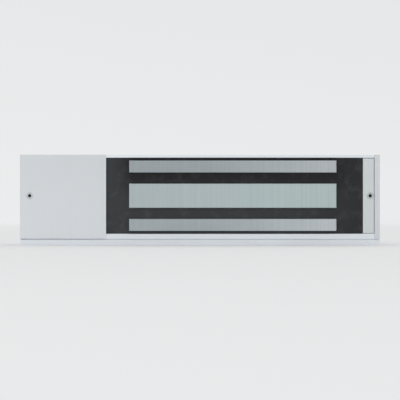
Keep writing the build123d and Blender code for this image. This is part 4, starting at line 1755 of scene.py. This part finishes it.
    def tracks(self) -> Piece:
        """Runs the widest tracks from part to part: round strands, pressed flat.

        Returns:
            The tracks.
        """
        ways = self.terminals()
        surge = self.across("varistor", self.varistor_leg)
        diode = self.across("diode", self.diode_leg)
        cell = self.across("capacitor", self.capacitor_leg)
        header = self.boxes["voltage_header"].middle
        red, black = self.boxes["coil_lead_red"], self.boxes["coil_lead_black"].middle
        lead = red.low.x + red.size.z / 2
        routes = [
            [ways[0], (ways[0][0], surge[0][1] - self.way_spacing), surge[0]],
            [ways[1], (ways[1][0], diode[0][1] - self.pin_spacing), diode[0]],
            [surge[1], (surge[1][0] + self.pin_spacing, cell[0][1]), cell[0]],
            [diode[1], (cell[1][0], diode[1][1]), cell[1]],
            [(header.x, header.z), (header.x, red.middle.z), (lead, red.middle.z)],
            [ways[-1], (ways[-1][0], black.z - self.pin_spacing), (lead, black.z)],
        ]
        runs = []
        for route in routes:
            run = strand("track", [(x, z, 0.0) for x, z in route], self.track_radius)
            flat = Matrix.Scale(self.track_height / self.track_radius, 4, (0.0, 0.0, 1.0))
            runs.append(settle(run, front_at(0.0, self.front, 0.0) @ flat))
        return join(runs, "board_tracks")

    def chip_leg(self) -> Piece:
        """Bends one leg of the chip: out of its side, and down to the board.

        Returns:
            The leg.
        """
        _, width, height = self.chip_size
        radius = self.chip_leg_radius
        side, foot, level = width / 2, width / 2 + self.chip_leg_reach, height / 2
        bends = [
            (side - radius, level), (side + 2 * radius, level),
            (foot - 2 * radius, radius), (foot, radius),
        ]
        leg = strand("chip_leg", [(0.0, y, z) for y, z in bends], radius)
        leg.data.materials.append(Palette.material(Slot.SCREWS))
        return leg

    def chip(self) -> Piece:
        """Shapes the sensor's amplifier: a moulded body with a row of bent legs on each side.

        Returns:
            The chip.
        """
        length, width, height = self.chip_size
        lift = 2 * self.chip_leg_radius
        blank = Blank.sheet("amplifier_chip", length, width)
        blank.move((0.0, 0.0, lift))
        blank.rise(height / 2)
        blank.rise(height / 2 - lift)
        blank.scale(*self.chip_taper)
        body = blank.close()
        body.data.materials.append(Palette.material(Slot.RELAY))
        middle = (self.chip_legs - 1) / 2
        row = [upright_at((i - middle) * self.chip_leg_spacing, 0.0, 0.0) for i in range(self.chip_legs)]
        sides = (Matrix(), Matrix.Rotation(pi, 4, "Z"))
        legs = set_out(self.chip_leg(), "chip_legs", [side @ place for side in sides for place in row])
        whole = join([body, legs], "amplifier_chip")
        spot = self.boxes["voltage_header"].middle + Vector(self.chip_off_header)
        return settle(whole, front_at(spot.x, self.front, spot.z))

    def resistors(self) -> Piece:
        """Shapes a small resistor with a tinned cap at each end, and sets a row along the top edge.

        Returns:
            The resistors.
        """
        length, width, height = self.resistor_size
        body = length / 2 - self.resistor_end
        blank = Blank.sheet("resistor", length - 2 * self.resistor_end, width)
        blank.rise(height)
        for side in (-1, 1):
            blank.pick_faces(lambda place: place.x * side > body * NEARLY)
            blank.draw_out((side * self.resistor_end, 0.0, 0.0))
        bpy.ops.mesh.select_all(action="SELECT")
        bpy.ops.mesh.bevel(offset=self.resistor_edge, segments=1)
        piece = blank.close()
        for slot in (Slot.DIODE, Slot.SCREWS):
            piece.data.materials.append(Palette.material(slot))
        for face in piece.data.polygons:
            face.material_index = int(abs(face.center.x) > body)
        board = self.boxes["circuit_board"]
        first = board.middle.x - self.resistor_spacing * (self.resistor_count - 1) / 2
        xs = [first + self.resistor_spacing * index for index in range(self.resistor_count)]
        places = [front_at(x, self.front, board.high.z - self.resistor_drop) for x in xs]
        return set_out(piece, "surface_resistors", places)

    def build(self) -> None:
        """Adds the solder, the clamps, the tracks and the smallest parts."""
        self.fit(self.solder(), Slot.SLEEVES)
        self.fit(self.clamps(), Slot.SCREWS)
        self.fit(self.tracks(), Slot.BOARD, smooth=self.track_smooth)
        self.fit(self.chip(), Slot.RELAY)
        self.fit(self.resistors(), Slot.DIODE)


@dataclass(frozen=True)
class Lamp:
    """One soft lamp, aimed at the lock.

    Attributes:
        place: Where it hangs, in metres.
        size: Diameter of its round face in metres.
        brightness: Brightness of that face, where 1 shows as white.
    """

    name: str
    place: Place
    size: float
    brightness: float

    @property
    def power(self) -> float:
        """Power in watts that gives the lamp's round face its brightness."""
        return self.brightness * pi * pi * self.size**2 / 4

    def hang(self, target: Vector) -> None:
        """Hangs the lamp, aimed at a point.

        Args:
            target: The point.
        """
        light = bpy.data.lights.new(self.name, "AREA")
        light.shape = "DISK"
        light.size = self.size
        light.energy = self.power
        holder = bpy.data.objects.new(self.name, light)
        holder.location = self.place
        holder.rotation_euler = (target - Vector(self.place)).to_track_quat("-Z", "Y").to_euler()
        bpy.context.scene.collection.objects.link(holder)
        log.info("Studio: lamp %s, %.1f W", self.name, self.power)


@dataclass
class Studio:
    """Pale floor and background, soft lamps, and the camera square on to the pole faces.

    Attributes:
        backdrop: Colour of the background level with the lock.
        left_gain: How much lighter the background is to the left.
        top_gain: How much lighter it is overhead, below 0 where it is darker.
        ambient: Strength of the even light.
        floor_lap: How far the floor reaches under the lock's foot.
        fade_start: Distance at which the floor starts to fade into the background.
        fade_end: Distance at which it has faded.
        lock_share: Share of the picture's width that the lock takes.
    """

    backdrop: Colour = (0.83, 0.836, 0.842)
    left_gain: float = 0.06
    top_gain: float = -0.4
    ambient: float = 0.84
    floor_tone: Colour = (0.86, 0.865, 0.87)
    floor_roughness: float = 0.9
    floor_shine: float = 0.1
    floor_radius: float = 40.0
    floor_lap: float = 0.3 * MM
    floor_sides: int = 64
    fade_start: float = 0.5
    fade_end: float = 1.6
    lens: float = 200.0
    sensor: float = 36.0
    lock_share: float = 0.9
    lamps: tuple[Lamp, ...] = (
        Lamp("key", (-0.8, -1.3, 0.85), 1.9, 0.53),
        Lamp("fill", (1.1, -1.05, 0.4), 1.3, 0.4),
        Lamp("top", (0.15, 0.45, 1.35), 2.0, 0.5),
    )

    def graded(self, graph: Graph, heading: Socket) -> Socket:
        """Grades the background's colour by the direction it is seen in: lighter left, darker overhead."""
        gain = graph.vector("DOT_PRODUCT", "Value", heading, (-self.left_gain, 0.0, self.top_gain))
        return graph.vector("SCALE", "Vector", self.backdrop, Scale=graph.math("ADD", gain, 1.0))

    def lay_floor(self, foot: Extent) -> Piece:
        """Shapes a round floor that is open under the lock, so that the lock's underside gets light.

        Args:
            foot: Extent of the lock's foot.

        Returns:
            The floor.
        """
        lap = 2 * self.floor_lap
        blank = Blank.sheet("floor", foot.size.x - lap, foot.size.y - lap)
        bpy.ops.mesh.delete(type="ONLY_FACE")
        bpy.ops.mesh.select_all(action="SELECT")
        blank.move((foot.middle.x, foot.middle.y, 0.0))
        bpy.ops.mesh.subdivide(number_cuts=self.floor_sides // RECTANGLE - 1)
        bpy.ops.mesh.primitive_circle_add(vertices=self.floor_sides, radius=self.floor_radius)
        bpy.ops.mesh.select_all(action="SELECT")
        bpy.ops.mesh.bridge_edge_loops()
        floor = blank.close()
        if floor.data.polygons[0].normal.z < 0:
            floor.data.flip_normals()
        return floor

    def make_floor(self) -> None:
        """Lays a floor that fades into the background, and that can be seen through from below."""
        floor = self.lay_floor(Extent.of("mounting_plate"))
        surface = Surface("studio_floor")
        surface.finish(
            Base_Color=self.floor_tone,
            Roughness=self.floor_roughness,
            Specular_IOR_Level=self.floor_shine,
        )
        heading = surface.vector("NORMALIZE", "Vector", surface.place)
        glow = surface.add("Emission", self.graded(surface, heading))
        away = surface.vector("LENGTH", "Value", surface.place)
        fade = surface.clip(away, self.fade_start, self.fade_end)
        upper = surface.add("MixShader", fade, surface.shader, glow)
        below = surface.add("NewGeometry").outputs["Backfacing"]
        clear = surface.add("BsdfTransparent")
        surface.fill(surface.output, Surface=surface.add("MixShader", below, upper, clear))
        floor.data.materials.append(surface.material)

    def make_world(self) -> None:
        """Lights the scene evenly, and shows the pale background to the camera and in reflections."""
        world = bpy.data.worlds.new("studio")
        bpy.context.scene.world = world
        world.use_nodes = True
        graph = Graph(world.node_tree, "Generated")
        light = graph.add("Background", Strength=self.ambient)
        seen = graph.add("Background", self.graded(graph, graph.place))
        path = graph.add("LightPath").outputs
        shown = graph.math("MAXIMUM", path["Is Camera Ray"], path["Is Glossy Ray"])
        shown = graph.math("MAXIMUM", shown, path["Is Transmission Ray"])
        graph.add("OutputWorld", graph.add("MixShader", shown, light, seen))

    def make_camera(self, lock: Extent) -> None:
        """Sets the camera level with the middle of the lock, square on to its front.

        Args:
            lock: Extent of the lock.
        """
        distance = lock.size.x / self.lock_share * self.lens / self.sensor
        data = bpy.data.cameras.new("camera")
        data.lens = self.lens
        data.sensor_width = self.sensor
        camera = bpy.data.objects.new("camera", data)
        camera.location = (lock.middle.x, lock.low.y - distance, lock.middle.z)
        camera.rotation_euler = (pi / 2, 0.0, 0.0)
        bpy.context.scene.collection.objects.link(camera)
        bpy.context.scene.camera = camera

    def build(self) -> None:
        """Sets up the whole studio round the lock."""
        lock = Extent(*CAD_BOX)
        bpy.context.scene.view_settings.view_transform = "Standard"
        self.make_camera(lock)
        self.make_floor()
        self.make_world()
        for lamp in self.lamps:
            lamp.hang(lock.middle)


def main() -> None:
    """Builds the studio and the lock's assemblies in order."""
    logging.basicConfig(level=logging.INFO, format="%(message)s")
    Studio().build()
    for assembly in (Channel(), FrontTrim(), Magnet(), Fixings(), Board()):
        assembly.dress()
        assembly.build()


if __name__ == "__main__":
    main()
